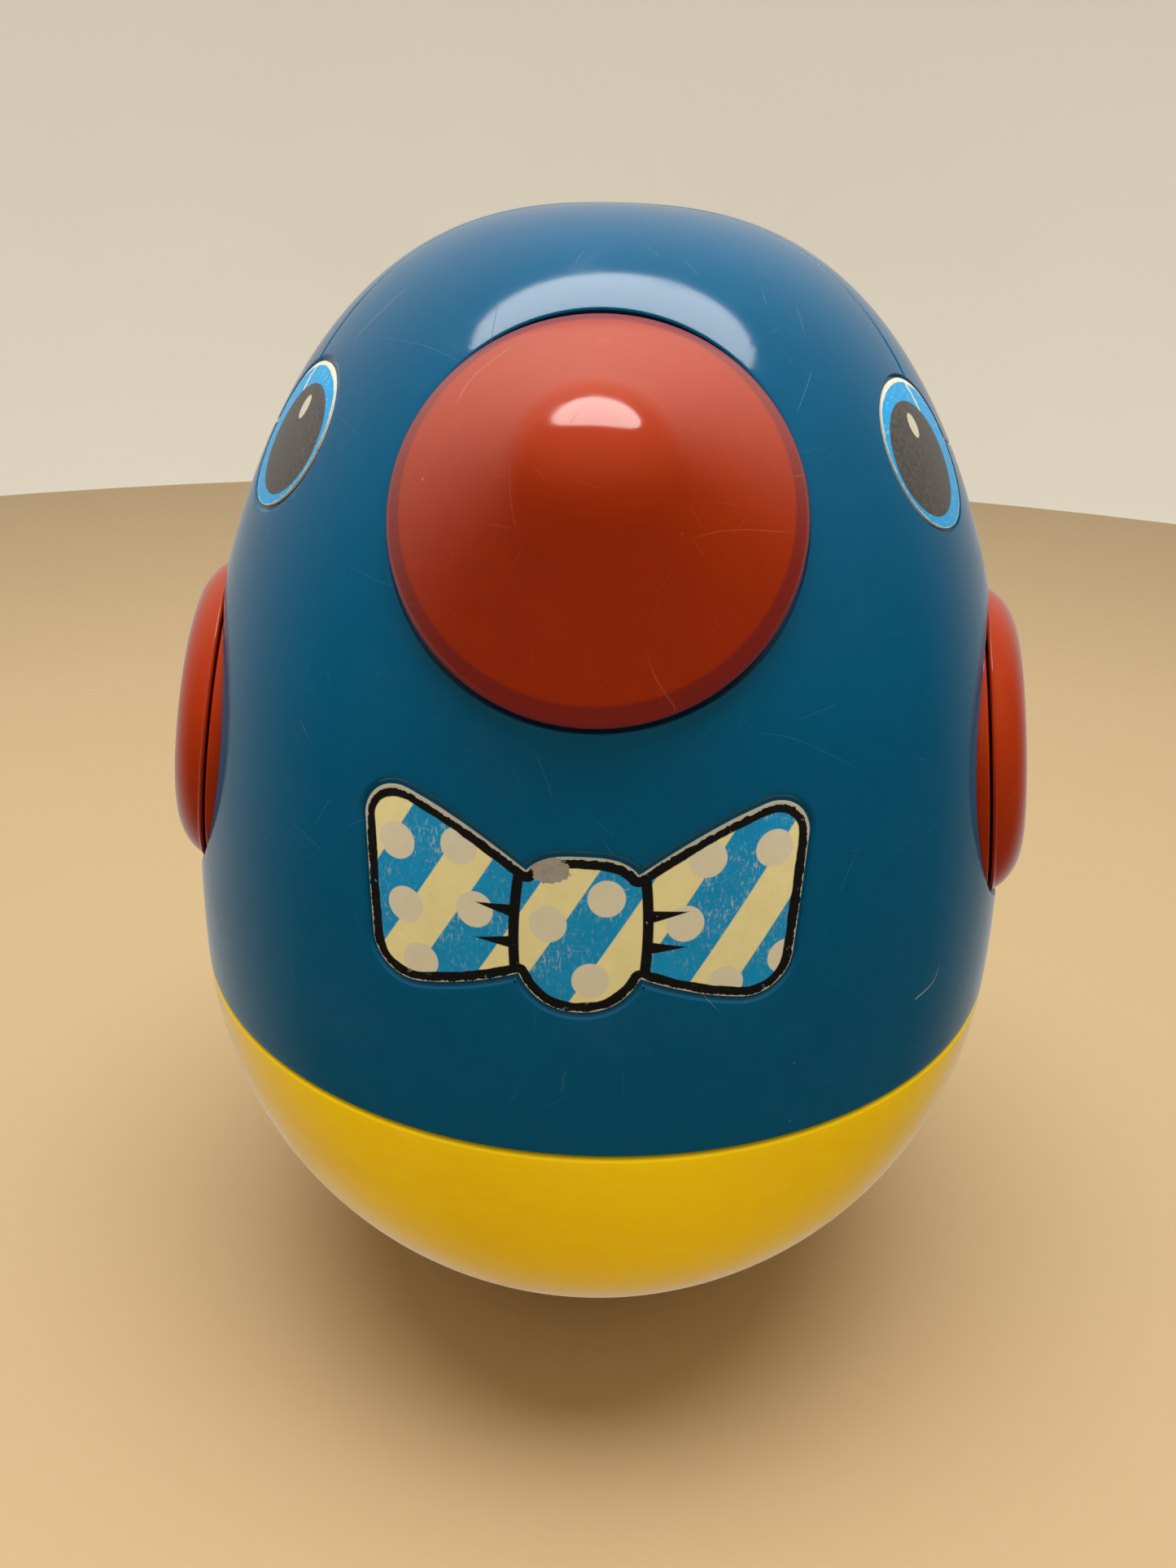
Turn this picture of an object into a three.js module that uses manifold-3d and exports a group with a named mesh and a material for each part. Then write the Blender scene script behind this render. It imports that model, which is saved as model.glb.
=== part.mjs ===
// Roly-poly chime toy: a weighted half-round bowl under an egg-shaped bird body, with a chime inside.
// Millimetres, +Z up, origin at the centre of the small flat the toy stands on. The face looks along -Y.
import * as THREE from 'three';
import { mergeVertices } from 'three/addons/utils/BufferGeometryUtils.js';
import Module from 'manifold-3d';

const wasm = await Module();
wasm.setup();

// ---------------------------------------------------------------- driving dimensions
const GAP = 0.3; // space left between pieces that touch
const SEGMENTS = 40; // facets around the body

const BODY_R = 50.1; // radius at the joint between bowl and body
const DOME_H = 83.1; // body height above the joint
const DOME_P = 1.92; // shape exponent along the height
const DOME_Q = 2.6; // shape exponent along the radius
const WALL = 2.4; // moulded wall of the shells and the bowl
const FLAT_R = 4; // flat the toy stands on
const SEAM_Z = Math.sqrt(BODY_R ** 2 - FLAT_R ** 2); // height of the joint, the widest level
const RIM_ROUND = 0.5; // rounded edge at the joint

const SPIGOT_H = 4; // ring of the bowl that locates the body
const SPIGOT_CLEAR = 0.6;
const SPIGOT_T = 1.6;

const BEAK_Z = 87; // level where the beak's axis crosses the body's axis
const BEAK_RISE = 30; // degrees above level
const BEAK_OUT = 39.2; // from the body's axis to the beak's base
const BEAK_R = 18.1;
const BEAK_H = 18;
const BEAK_TIP_R = 9;
const BEAK_FOOT_R = 2; // rounding where the beak meets the body

const FLIPPER_Z = 70.6; // level where a flipper's axis crosses the body's axis
const FLIPPER_RISE = 9.5; // degrees above level
const FLIPPER_TURN = 11.4; // degrees turned towards the face
const FLIPPER_OUT = 44.1; // from the body's axis to the back of the flipper
const FLIPPER_R = 18;
const FLIPPER_BACK_T = 1.7; // thin back plate
const FLIPPER_T = 3.8; // outer disc
const FLIPPER_EDGE = 6.8; // width of the rounded edge

const POCKET_CLEAR = 0.3; // round pocket around a beak or flipper
const POCKET_FLOOR_T = 2.2;
const POCKET_PAD = 2.3; // thickened wall around a pocket
const STEM_R = 4.3; // stem that holds a beak or flipper
const RETAINER_R = 9;
const RETAINER_T = 1.6;

const EYE_TURN = 58.9; // degrees from the face
const EYE_Z = 111.7;
const EYE_R = 7.6;
const EYE_RISE = 28;
const LABEL_T = 0.25;
const LABEL_SINK = 0.05; // label face below the body's surface
const RECESS = LABEL_SINK + LABEL_T + GAP; // depth of a label's recess
const RECESS_MARGIN = 0.5; // how far a recess runs past its label

const BOW_Z = 73.5;
const KNOT_RX = 6.2;
const KNOT_RZ = 7.3;
const KNOT_TOP_POWER = 3; // shape exponent of the knot's upper half, fuller than an ellipse
const KNOT_LOW_POWER = 2.2;
const WING_TOP_X = 16.75; // centre of a wing's upper rounded corner
const WING_TOP_Z = 81.9;
const WING_TOP_R = 3.2;
const WING_LOW_X = 15.3; // centre of a wing's lower rounded corner
const WING_LOW_Z = 71.1;
const WING_LOW_R = 4;
const WING_ROOT_X = 4; // the wings start inside the knot
const WING_ROOT_HIGH = 78.6;
const WING_ROOT_LOW = 70.2;
const WING_ABOVE = [10.5, 83.3]; // control point of the upper edge
const WING_BELOW = [9.8, 67.9]; // control point of the lower edge
const WING_FOOT = [14.4, 67.2]; // where the lower edge meets its rounded corner

const PARTING_Y = 11; // plane between the front and rear shells, below the head
const PARTING_TURN_Z = 96; // where the joint starts to come forward
const PARTING_EYE = [-17.5, 112.6]; // joint under the eye labels: Y, Z
const PARTING_CROWN = [-4.4, 135]; // joint over the crown: Y, Z

const BALLAST_R = 24;
const BALLAST_TOP = 20;
const BOSS_RING = 29;
const BOSS_R = 4;
const BOSS_TOP = 20.3;
const BOSS_BORE = 1.3;
const BASE_R = 34.5;
const BASE_LOW = 20.6;
const BASE_T = 3;

const BLOCK_R = 25.5;
const BLOCK_LOW = BASE_LOW + BASE_T + GAP;
const BLOCK_T = 7;
const ROD_COUNT = 6;
const ROD_RING = 21.5;
const ROD_R = 1.5;
const ROD_TOP_SHORT = 60; // top of the shortest chime rod
const ROD_TOP_STEP = 4; // each rod stands this much higher than the last

const FRAME_X = 32.5; // outside of the bridge's legs
const FRAME_TOP = 92;
const FRAME_BAR = 4;
const FRAME_LEG = 3;
const FRAME_W = 8;
const EAR_SLOT = 2.2; // half width between the bridge's ears
const EAR_OUT = 6;
const PIN_R = 1.2;
const HANGER_Z = 83; // upper pivot, along X
const STRIKER_Z = 75; // lower pivot, along Y
const LINK_X = 1.9;
const LINK_Y = 3.5;
const FORK_OUT = 6;
const BALL_Z = 44;
const BALL_R = 6.5;
const STRIKER_ROD_R = 1.5;

// ---------------------------------------------------------------- helpers
const Z_AXIS = new THREE.Vector3(0, 0, 1);
const rad = THREE.MathUtils.degToRad;
const v2 = (x, y) => new THREE.Vector2(x, y);

// Plain position-only triangles with shared corners and no slivers of zero area.
function tidy(geometry) {
  const bare = geometry.clone();
  bare.deleteAttribute('normal');
  bare.deleteAttribute('uv');
  const merged = mergeVertices(bare, 1e-4);
  const index = merged.index.array;
  const kept = [];
  for (let i = 0; i < index.length; i += 3) {
    const [a, b, c] = [index[i], index[i + 1], index[i + 2]];
    if (a !== b && b !== c && c !== a) kept.push(a, b, c);
  }
  merged.setIndex(kept);
  return merged;
}

function solid(geometry) {
  const g = tidy(geometry);
  const mesh = new wasm.Mesh({
    numProp: 3,
    vertProperties: new Float32Array(g.attributes.position.array),
    triVerts: new Uint32Array(g.index.array),
  });
  mesh.merge();
  return new wasm.Manifold(mesh);
}

function geometryOf(manifold) {
  const mesh = manifold.getMesh();
  const g = new THREE.BufferGeometry();
  g.setAttribute('position', new THREE.BufferAttribute(new Float32Array(mesh.vertProperties), 3));
  g.setIndex(Array.from(mesh.triVerts));
  return g;
}

// Revolves [radius, height] points about +Z; the points run up the outside.
function revolve(points, segments) {
  const g = new THREE.LatheGeometry(points.map(([r, z]) => v2(r, z)), segments);
  return g.rotateX(Math.PI / 2);
}

function cylinder(radius, low, high, segments) {
  return revolve([[0, low], [radius, low], [radius, high], [0, high]], segments);
}

// Cylinder with a small bevel at both ends.
function pinShape(radius, low, high, segments, bevel) {
  const points = [
    [0, low],
    [radius - bevel, low],
    [radius, low + bevel],
    [radius, high - bevel],
    [radius - bevel, high],
    [0, high],
  ];
  return revolve(points, segments);
}

// Points of an arc in the [radius, height] plane, both ends included.
function arc(cr, cz, radius, from, to, steps) {
  const points = [];
  for (let i = 0; i <= steps; i++) {
    const a = rad(from + ((to - from) * i) / steps);
    points.push([cr + radius * Math.cos(a), cz + radius * Math.sin(a)]);
  }
  return points;
}

// Turns a shape built along +Z so that it points along a direction, from an origin.
function aim(geometry, origin, direction) {
  const turn = new THREE.Quaternion().setFromUnitVectors(Z_AXIS, direction);
  return geometry.applyQuaternion(turn).translate(origin.x, origin.y, origin.z);
}

// Direction at an angle from the face (towards +X when positive) and a rise above level.
function direction(turn, rise) {
  const level = Math.cos(rad(rise));
  return new THREE.Vector3(
    Math.sin(rad(turn)) * level,
    -Math.cos(rad(turn)) * level,
    Math.sin(rad(rise)),
  );
}

function box(x0, x1, y0, y1, z0, z1) {
  const g = new THREE.BoxGeometry(x1 - x0, y1 - y0, z1 - z0);
  return g.translate((x0 + x1) / 2, (y0 + y1) / 2, (z0 + z1) / 2);
}

// Flat outline in X and Z, given thickness along Y.
function plate(shape, y0, y1, curveSegments) {
  const g = new THREE.ExtrudeGeometry(shape, { depth: y1 - y0, bevelEnabled: false, curveSegments });
  return g.rotateX(Math.PI / 2).translate(0, y1, 0);
}

// ---------------------------------------------------------------- body surface
// Radius of the body at a height, measured on the surface sunk by a given depth.
function bodyRadius(z, sink) {
  const up = Math.max(0, (z - SEAM_Z) / (DOME_H - sink));
  return (BODY_R - sink) * Math.pow(Math.max(0, 1 - Math.pow(up, DOME_P)), 1 / DOME_Q);
}

// Solid dome bounded by the body's surface sunk by a given depth, cut level at its foot.
function dome(sink, foot, segments = SEGMENTS, steps = 12) {
  const points = [[0, foot], [bodyRadius(foot, sink), foot]];
  const start = Math.asin(Math.pow(Math.max(0, foot - SEAM_Z) / (DOME_H - sink), DOME_P / 2));
  for (let i = 1; i < steps; i++) {
    const t = start + ((Math.PI / 2 - start) * i) / steps;
    const z = SEAM_Z + (DOME_H - sink) * Math.pow(Math.sin(t), 2 / DOME_P);
    points.push([(BODY_R - sink) * Math.pow(Math.cos(t), 2 / DOME_Q), z]);
  }
  points.push([0, SEAM_Z + DOME_H - sink]);
  return revolve(points, segments);
}

// ---------------------------------------------------------------- seats for beak and flippers
const beakSeat = {
  origin: new THREE.Vector3(0, 0, BEAK_Z),
  axis: direction(0, BEAK_RISE),
  out: BEAK_OUT,
  radius: BEAK_R,
};

function flipperSeat(side) {
  return {
    origin: new THREE.Vector3(0, 0, FLIPPER_Z),
    axis: direction(side * (90 - FLIPPER_TURN), FLIPPER_RISE),
    out: FLIPPER_OUT,
    radius: FLIPPER_R,
  };
}

const floorOf = (seat) => seat.out - GAP;
const onSeat = (seat, geometry) => aim(geometry, seat.origin, seat.axis);

// ---------------------------------------------------------------- labels
function bowShapes(grow) {
  const outline = [];
  for (let i = 0; i < 32; i++) {
    const [c, s] = [Math.cos((Math.PI * i) / 16), Math.sin((Math.PI * i) / 16)];
    const power = s > 0 ? KNOT_TOP_POWER : KNOT_LOW_POWER;
    const x = (KNOT_RX + grow) * Math.sign(c) * Math.abs(c) ** (2 / power);
    const z = (KNOT_RZ + grow) * Math.sign(s) * Math.abs(s) ** (2 / power);
    outline.push(v2(x, BOW_Z + z));
  }
  const knot = new THREE.Shape(outline);
  const wing = new THREE.Shape();
  wing.moveTo(WING_ROOT_X, WING_ROOT_LOW - grow);
  wing.quadraticCurveTo(WING_BELOW[0], WING_BELOW[1] - grow, WING_FOOT[0], WING_FOOT[1] - grow);
  wing.absarc(WING_LOW_X, WING_LOW_Z, WING_LOW_R + grow, rad(-96), rad(-6), false);
  wing.absarc(WING_TOP_X, WING_TOP_Z, WING_TOP_R + grow, rad(4), rad(114), false);
  wing.quadraticCurveTo(WING_ABOVE[0], WING_ABOVE[1] + grow, WING_ROOT_X, WING_ROOT_HIGH + grow);
  wing.closePath();
  return { knot, wing };
}

function bowPrism(grow) {
  const { knot, wing } = bowShapes(grow);
  const right = solid(plate(wing, -60, -30, 4));
  return solid(plate(knot, -60, -30, 1)).add(right).add(right.mirror([1, 0, 0]));
}

function eyePrism(side, grow) {
  const seat = new THREE.Vector3(0, 0, EYE_Z - bodyRadius(EYE_Z, 0) * Math.tan(rad(EYE_RISE)));
  return solid(aim(cylinder(EYE_R + grow, 25, 60, 20), seat, direction(side * EYE_TURN, EYE_RISE)));
}

// Slice of the body between two depths, above the foot.
const skin = (outer, inner) => solid(dome(outer, SEAM_Z + 5)).subtract(solid(dome(inner, SEAM_Z + 4)));

// ---------------------------------------------------------------- body shells
// Joint between the shells, seen from the side; the rear shell is the part behind it.
function rearRegion(clear) {
  const [eyeY, eyeZ] = PARTING_EYE;
  const [crownY, crownZ] = PARTING_CROWN;
  const behind = PARTING_Y + clear;
  const s = new THREE.Shape();
  s.moveTo(behind, 40);
  s.lineTo(80, 40);
  s.lineTo(80, 150);
  s.lineTo(crownY + clear + 5, 150);
  s.lineTo(crownY + clear, crownZ);
  s.lineTo(eyeY + clear * 1.2, eyeZ + clear * 0.2);
  s.quadraticCurveTo(behind, eyeZ - 3 + clear, behind, PARTING_TURN_Z);
  s.closePath();
  const g = new THREE.ExtrudeGeometry(s, { depth: 160, bevelEnabled: false, curveSegments: 8 });
  // The outline's first axis becomes Y, its second becomes Z and its thickness runs along X.
  const turn = new THREE.Matrix4().makeBasis(
    new THREE.Vector3(0, 1, 0),
    new THREE.Vector3(0, 0, 1),
    new THREE.Vector3(1, 0, 0),
  );
  return solid(g.applyMatrix4(turn).translate(-80, 0, 0));
}

function bodyShell() {
  const foot = SEAM_Z + GAP / 2;
  const outer = solid(dome(0, foot));
  let shell = outer.subtract(solid(dome(WALL, foot - 1, 32, 7)));
  for (const seat of [beakSeat, flipperSeat(-1), flipperSeat(1)]) {
    const floor = floorOf(seat);
    const pocket = seat.radius + POCKET_CLEAR;
    const pad = cylinder(pocket + POCKET_PAD, floor - POCKET_FLOOR_T, 80, 28);
    shell = shell.add(solid(onSeat(seat, pad)).intersect(outer));
    shell = shell.subtract(solid(onSeat(seat, cylinder(pocket, floor, 80, 28))));
    shell = shell.subtract(solid(onSeat(seat, cylinder(STEM_R + GAP, 20, 60, 14))));
  }
  const labels = bowPrism(RECESS_MARGIN)
    .add(eyePrism(-1, RECESS_MARGIN))
    .add(eyePrism(1, RECESS_MARGIN));
  return shell.subtract(labels.subtract(solid(dome(RECESS, SEAM_Z + 4))));
}

// ---------------------------------------------------------------- bowl
function bowl() {
  const rimZ = SEAM_Z - GAP / 2;
  const seamAngle = (Math.asin((rimZ - RIM_ROUND - SEAM_Z) / BODY_R) * 180) / Math.PI;
  const flatAngle = (-Math.acos(FLAT_R / BODY_R) * 180) / Math.PI;
  const spigotR = BODY_R - WALL - SPIGOT_CLEAR;
  const inner = BODY_R - WALL;
  const innerAngle = (-Math.acos((spigotR - SPIGOT_T) / inner) * 180) / Math.PI;
  const points = [
    [0, SEAM_Z + BODY_R * Math.sin(rad(flatAngle))],
    ...arc(0, SEAM_Z, BODY_R, flatAngle, seamAngle, 8),
    [BODY_R - RIM_ROUND, rimZ],
    [spigotR, rimZ],
    [spigotR, SEAM_Z + SPIGOT_H - 0.6],
    [spigotR - 0.6, SEAM_Z + SPIGOT_H],
    [spigotR - SPIGOT_T, SEAM_Z + SPIGOT_H],
    ...arc(0, SEAM_Z, inner, innerAngle, -90, 5),
  ];
  points[points.length - 1][0] = 0;
  let body = solid(revolve(points, SEGMENTS));
  const inside = solid(revolve([...arc(0, SEAM_Z, inner + WALL / 2, -90, 0, 9), [0, SEAM_Z]], 24));
  for (const [x, y] of ringPoints(3, BOSS_RING, 90)) {
    const boss = solid(cylinder(BOSS_R, 4, BOSS_TOP, 14).translate(x, y, 0));
    body = body.add(boss.intersect(inside));
    body = body.subtract(solid(cylinder(BOSS_BORE, BOSS_TOP - 7, BOSS_TOP + 1, 8).translate(x, y, 0)));
  }
  return body;
}

// Centres of a ring of equal features, starting at an angle in degrees.
function ringPoints(count, radius, start) {
  const points = [];
  for (let i = 0; i < count; i++) {
    const a = rad(start + (360 * i) / count);
    points.push([radius * Math.cos(a), radius * Math.sin(a)]);
  }
  return points;
}

// ---------------------------------------------------------------- beak and flippers
// Blunt cone with a rounded tip and a rounded foot, hollow behind, on a solid stem.
function beak() {
  const tipCentre = BEAK_OUT + BEAK_H - BEAK_TIP_R;
  const footR = BEAK_R - BEAK_FOOT_R;
  // Half angle of the cone whose side touches both roundings.
  const flank = 2 * THREE.MathUtils.radToDeg(Math.atan(footR / (BEAK_H - BEAK_TIP_R - BEAK_FOOT_R))) - 90;
  const outline = (thin) => [
    ...arc(footR, BEAK_OUT + BEAK_FOOT_R, BEAK_FOOT_R - thin, -40, flank, 3),
    ...arc(0, tipCentre, BEAK_TIP_R - thin, flank, 90, 5),
  ];
  const outer = [[0, BEAK_OUT], [BEAK_R - 0.8, BEAK_OUT], ...outline(0)];
  outer[outer.length - 1][0] = 0;
  const inner = [[0, BEAK_OUT - 1], [footR, BEAK_OUT - 1], ...outline(1.8)];
  inner[inner.length - 1][0] = 0;
  const stem = cylinder(STEM_R, stemEnd(beakSeat), tipCentre + BEAK_TIP_R - 1.5, 14);
  const hollow = solid(revolve(inner, 16));
  return solid(revolve(outer, 28)).subtract(hollow).add(solid(stem));
}

const stemEnd = (seat) => floorOf(seat) - POCKET_FLOOR_T - GAP - RETAINER_T - 1;

// Flat-backed disc with a wide rounded edge and a slight crown.
function flipperDisc() {
  const low = FLIPPER_OUT + FLIPPER_BACK_T + GAP;
  const top = low + FLIPPER_T;
  const edge = [];
  for (let i = 0; i <= 4; i++) {
    const a = rad(22 + (68 * i) / 4);
    edge.push([FLIPPER_R - FLIPPER_EDGE * (1 - Math.cos(a)), top - 5.4 * (1 - Math.sin(a))]);
  }
  return revolve([[0, low], [FLIPPER_R - 0.25, low], ...edge, [0, top + 0.45]], 28);
}

// Back plate with the stem the flipper turns on.
function flipperBack(seat) {
  const points = [
    [0, stemEnd(seat)],
    [STEM_R - 0.4, stemEnd(seat)],
    [STEM_R, stemEnd(seat) + 0.4],
    [STEM_R, FLIPPER_OUT],
    [FLIPPER_R - 0.5, FLIPPER_OUT],
    [FLIPPER_R, FLIPPER_OUT + 0.4],
    [FLIPPER_R, FLIPPER_OUT + FLIPPER_BACK_T],
    [0, FLIPPER_OUT + FLIPPER_BACK_T],
  ];
  return revolve(points, 28);
}

// Push-on ring with four slits at its bore.
function retainer(seat) {
  const high = floorOf(seat) - POCKET_FLOOR_T - GAP;
  const low = high - RETAINER_T;
  const bore = STEM_R + GAP;
  const points = [
    [bore, low + 0.5],
    [bore + 0.8, low],
    [RETAINER_R - 0.4, low],
    [RETAINER_R, low + 0.4],
    [RETAINER_R, high],
    [bore, high],
    [bore, low + 0.5],
  ];
  let ring = solid(revolve(points, 12));
  for (const turn of [0, 90]) {
    const slit = box(-bore - 1.8, bore + 1.8, -0.4, 0.4, low - 1, high + 1);
    ring = ring.subtract(solid(slit.rotateZ(rad(turn))));
  }
  return geometryOf(ring);
}

// ---------------------------------------------------------------- weight and chime
function ballast() {
  const radius = BODY_R - WALL - 0.5;
  const low = (-Math.acos(BALLAST_R / radius) * 180) / Math.PI;
  const points = [
    ...arc(0, SEAM_Z, radius, -90, low, 6),
    [BALLAST_R, BALLAST_TOP - 1],
    [BALLAST_R - 1, BALLAST_TOP],
    [8, BALLAST_TOP],
    [7, BALLAST_TOP - 2],
    [0, BALLAST_TOP - 2],
  ];
  points[0][0] = 0;
  return revolve(points, 24);
}

function chimeBase() {
  const top = BASE_LOW + BASE_T;
  let body = solid(cylinder(BASE_R, BASE_LOW, top, 28));
  for (const [x, y] of ringPoints(3, BOSS_RING, 90)) {
    body = body.subtract(solid(cylinder(1.75, BASE_LOW - 1, top + 1, 8).translate(x, y, 0)));
  }
  for (const side of [-1, 1]) {
    body = body.subtract(solid(cylinder(1.3, BASE_LOW - 1, top + 1, 8).translate(side * 28.6, 7.6, 0)));
  }
  return body.subtract(solid(cylinder(1.75, BASE_LOW - 1, top + 1, 8)));
}

function chimeBlock() {
  const top = BLOCK_LOW + BLOCK_T;
  let body = solid(cylinder(BLOCK_R, BLOCK_LOW, top, 28));
  for (const [x, y] of ringPoints(ROD_COUNT, ROD_RING, 0)) {
    body = body.subtract(solid(cylinder(ROD_R + GAP, BLOCK_LOW + 1.2, top + 1, 10).translate(x, y, 0)));
  }
  return body.subtract(solid(cylinder(1.75, BLOCK_LOW - 1, top + 1, 8)));
}

// Pan-head screw, head up, with a crossed slot; the thread is a plain shank.
function screw(x, y, seatZ, shank) {
  const points = [
    [0, seatZ - shank],
    [0.4, seatZ - shank],
    [1.15, seatZ - shank + 1.2],
    [1.15, seatZ],
    [2.9, seatZ],
    [2.9, seatZ + 1],
    [2.3, seatZ + 1.9],
    [0, seatZ + 2.1],
  ];
  let body = solid(revolve(points, 10));
  body = body.subtract(solid(box(-1.6, 1.6, -0.3, 0.3, seatZ + 1, seatZ + 3)));
  body = body.subtract(solid(box(-0.3, 0.3, -1.6, 1.6, seatZ + 1, seatZ + 3)));
  return geometryOf(body).translate(x, y, 0);
}

// Bridge over the rods: two legs on feet, a bar across, and two ears for the upper pin.
function strikerFrame() {
  const low = BLOCK_LOW;
  const s = new THREE.Shape();
  s.moveTo(FRAME_X, low);
  s.lineTo(FRAME_X, FRAME_TOP - 10);
  s.absarc(FRAME_X - 10, FRAME_TOP - 10, 10, 0, Math.PI / 2, false);
  s.lineTo(-FRAME_X + 10, FRAME_TOP);
  s.absarc(-FRAME_X + 10, FRAME_TOP - 10, 10, Math.PI / 2, Math.PI, false);
  s.lineTo(-FRAME_X, low);
  s.lineTo(-FRAME_X + FRAME_LEG, low);
  s.lineTo(-FRAME_X + FRAME_LEG, FRAME_TOP - 10);
  s.absarc(-FRAME_X + 10, FRAME_TOP - 10, 10 - FRAME_LEG, Math.PI, Math.PI / 2, true);
  s.lineTo(-EAR_OUT - 2, FRAME_TOP - FRAME_BAR);
  s.lineTo(EAR_OUT + 2, FRAME_TOP - FRAME_BAR);
  s.lineTo(FRAME_X - 10, FRAME_TOP - FRAME_LEG);
  s.absarc(FRAME_X - 10, FRAME_TOP - 10, 10 - FRAME_LEG, Math.PI / 2, 0, true);
  s.lineTo(FRAME_X - FRAME_LEG, low);
  s.closePath();
  let body = solid(plate(s, -FRAME_W / 2, FRAME_W / 2, 5));
  for (const side of [-1, 1]) {
    const x0 = Math.min(side * 26, side * FRAME_X);
    const x1 = Math.max(side * 26, side * FRAME_X);
    body = body.add(solid(box(x0, x1, -FRAME_W / 2, 11, low, low + 2.4)));
    body = body.subtract(solid(cylinder(1.75, low - 1, low + 4, 8).translate(side * 28.6, 7.6, 0)));
    const ear = new THREE.Shape();
    ear.absarc(0, HANGER_Z, 3.2, Math.PI, Math.PI * 2, false);
    ear.lineTo(3.2, FRAME_TOP - FRAME_BAR + 1);
    ear.lineTo(-3.2, FRAME_TOP - FRAME_BAR + 1);
    ear.closePath();
    const lug = plate(ear, EAR_SLOT, EAR_OUT, 4).rotateZ(side * Math.PI / 2);
    body = body.add(solid(lug));
  }
  const bore = cylinder(PIN_R + GAP, -10, 10, 10).rotateY(Math.PI / 2).translate(0, 0, HANGER_Z);
  return body.subtract(solid(bore));
}

// Headed pin along +Z, centred on the origin.
function headedPin(half) {
  const points = [
    [0, -half],
    [PIN_R + 0.9, -half],
    [PIN_R + 0.9, -half + 1],
    [PIN_R, -half + 1],
    [PIN_R, half - 1],
    [PIN_R + 0.9, half - 1],
    [PIN_R + 0.9, half],
    [0, half],
  ];
  return revolve(points, 10);
}

// Flat link with a cross hole at each end, the lower one at right angles to the upper.
function hangerLink() {
  const s = new THREE.Shape();
  s.absarc(0, HANGER_Z, LINK_Y, 0, Math.PI, false);
  s.absarc(0, STRIKER_Z, LINK_Y, Math.PI, Math.PI * 2, false);
  s.closePath();
  const side = plate(s, -LINK_X, LINK_X, 5).rotateZ(Math.PI / 2);
  const upper = cylinder(PIN_R + GAP, -6, 6, 10).rotateY(Math.PI / 2).translate(0, 0, HANGER_Z);
  const lower = cylinder(PIN_R + GAP, -6, 6, 10).rotateX(Math.PI / 2).translate(0, 0, STRIKER_Z);
  return solid(side)
    .intersect(solid(box(-LINK_X, LINK_X, -LINK_Y, LINK_Y, STRIKER_Z - 3, HANGER_Z + LINK_Y + 1)))
    .subtract(solid(upper))
    .subtract(solid(lower));
}

// Fork on the lower pin with the rod that carries the ball.
function strikerRod() {
  const bridgeZ = STRIKER_Z - 6.5;
  const ear = new THREE.Shape();
  ear.absarc(0, STRIKER_Z, 3, 0, Math.PI, false);
  ear.lineTo(-3, bridgeZ);
  ear.lineTo(3, bridgeZ);
  ear.closePath();
  let body = solid(box(-3, 3, -FORK_OUT, FORK_OUT, bridgeZ, bridgeZ + 2));
  for (const side of [-1, 1]) {
    const y0 = side > 0 ? LINK_Y + GAP : -FORK_OUT;
    body = body.add(solid(plate(ear, y0, y0 + FORK_OUT - LINK_Y - GAP, 6)));
  }
  const bore = cylinder(PIN_R + GAP, -9, 9, 10).rotateX(Math.PI / 2).translate(0, 0, STRIKER_Z);
  body = body.subtract(solid(bore));
  return body.add(solid(pinShape(STRIKER_ROD_R, BALL_Z - BALL_R - 1, bridgeZ + 1, 10, 0.4)));
}

function strikerBall() {
  const bore = STRIKER_ROD_R + GAP;
  const open = (Math.acos(bore / BALL_R) * 180) / Math.PI;
  const points = arc(0, BALL_Z, BALL_R, -open, open, 8);
  return revolve([...points, points[0]], 20);
}

// ---------------------------------------------------------------- assembly
const finishes = {
  yellow: 0xe6b81c,
  teal: 0x0b5f7d,
  orange: 0xc8381c,
  label: 0xd8cfa4,
  iron: 0x3c3d3f,
  steel: 0x9fa3a6,
  zinc: 0xa8abad,
  nylon: 0xd9d6cc,
  beech: 0xc79a63,
};

function mesh(name, shape, finish) {
  const geometry = shape.isBufferGeometry ? tidy(shape) : geometryOf(shape);
  geometry.computeVertexNormals();
  const material = new THREE.MeshStandardMaterial({ color: finishes[finish], flatShading: true });
  const node = new THREE.Mesh(geometry, material);
  node.name = name;
  return node;
}

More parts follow.
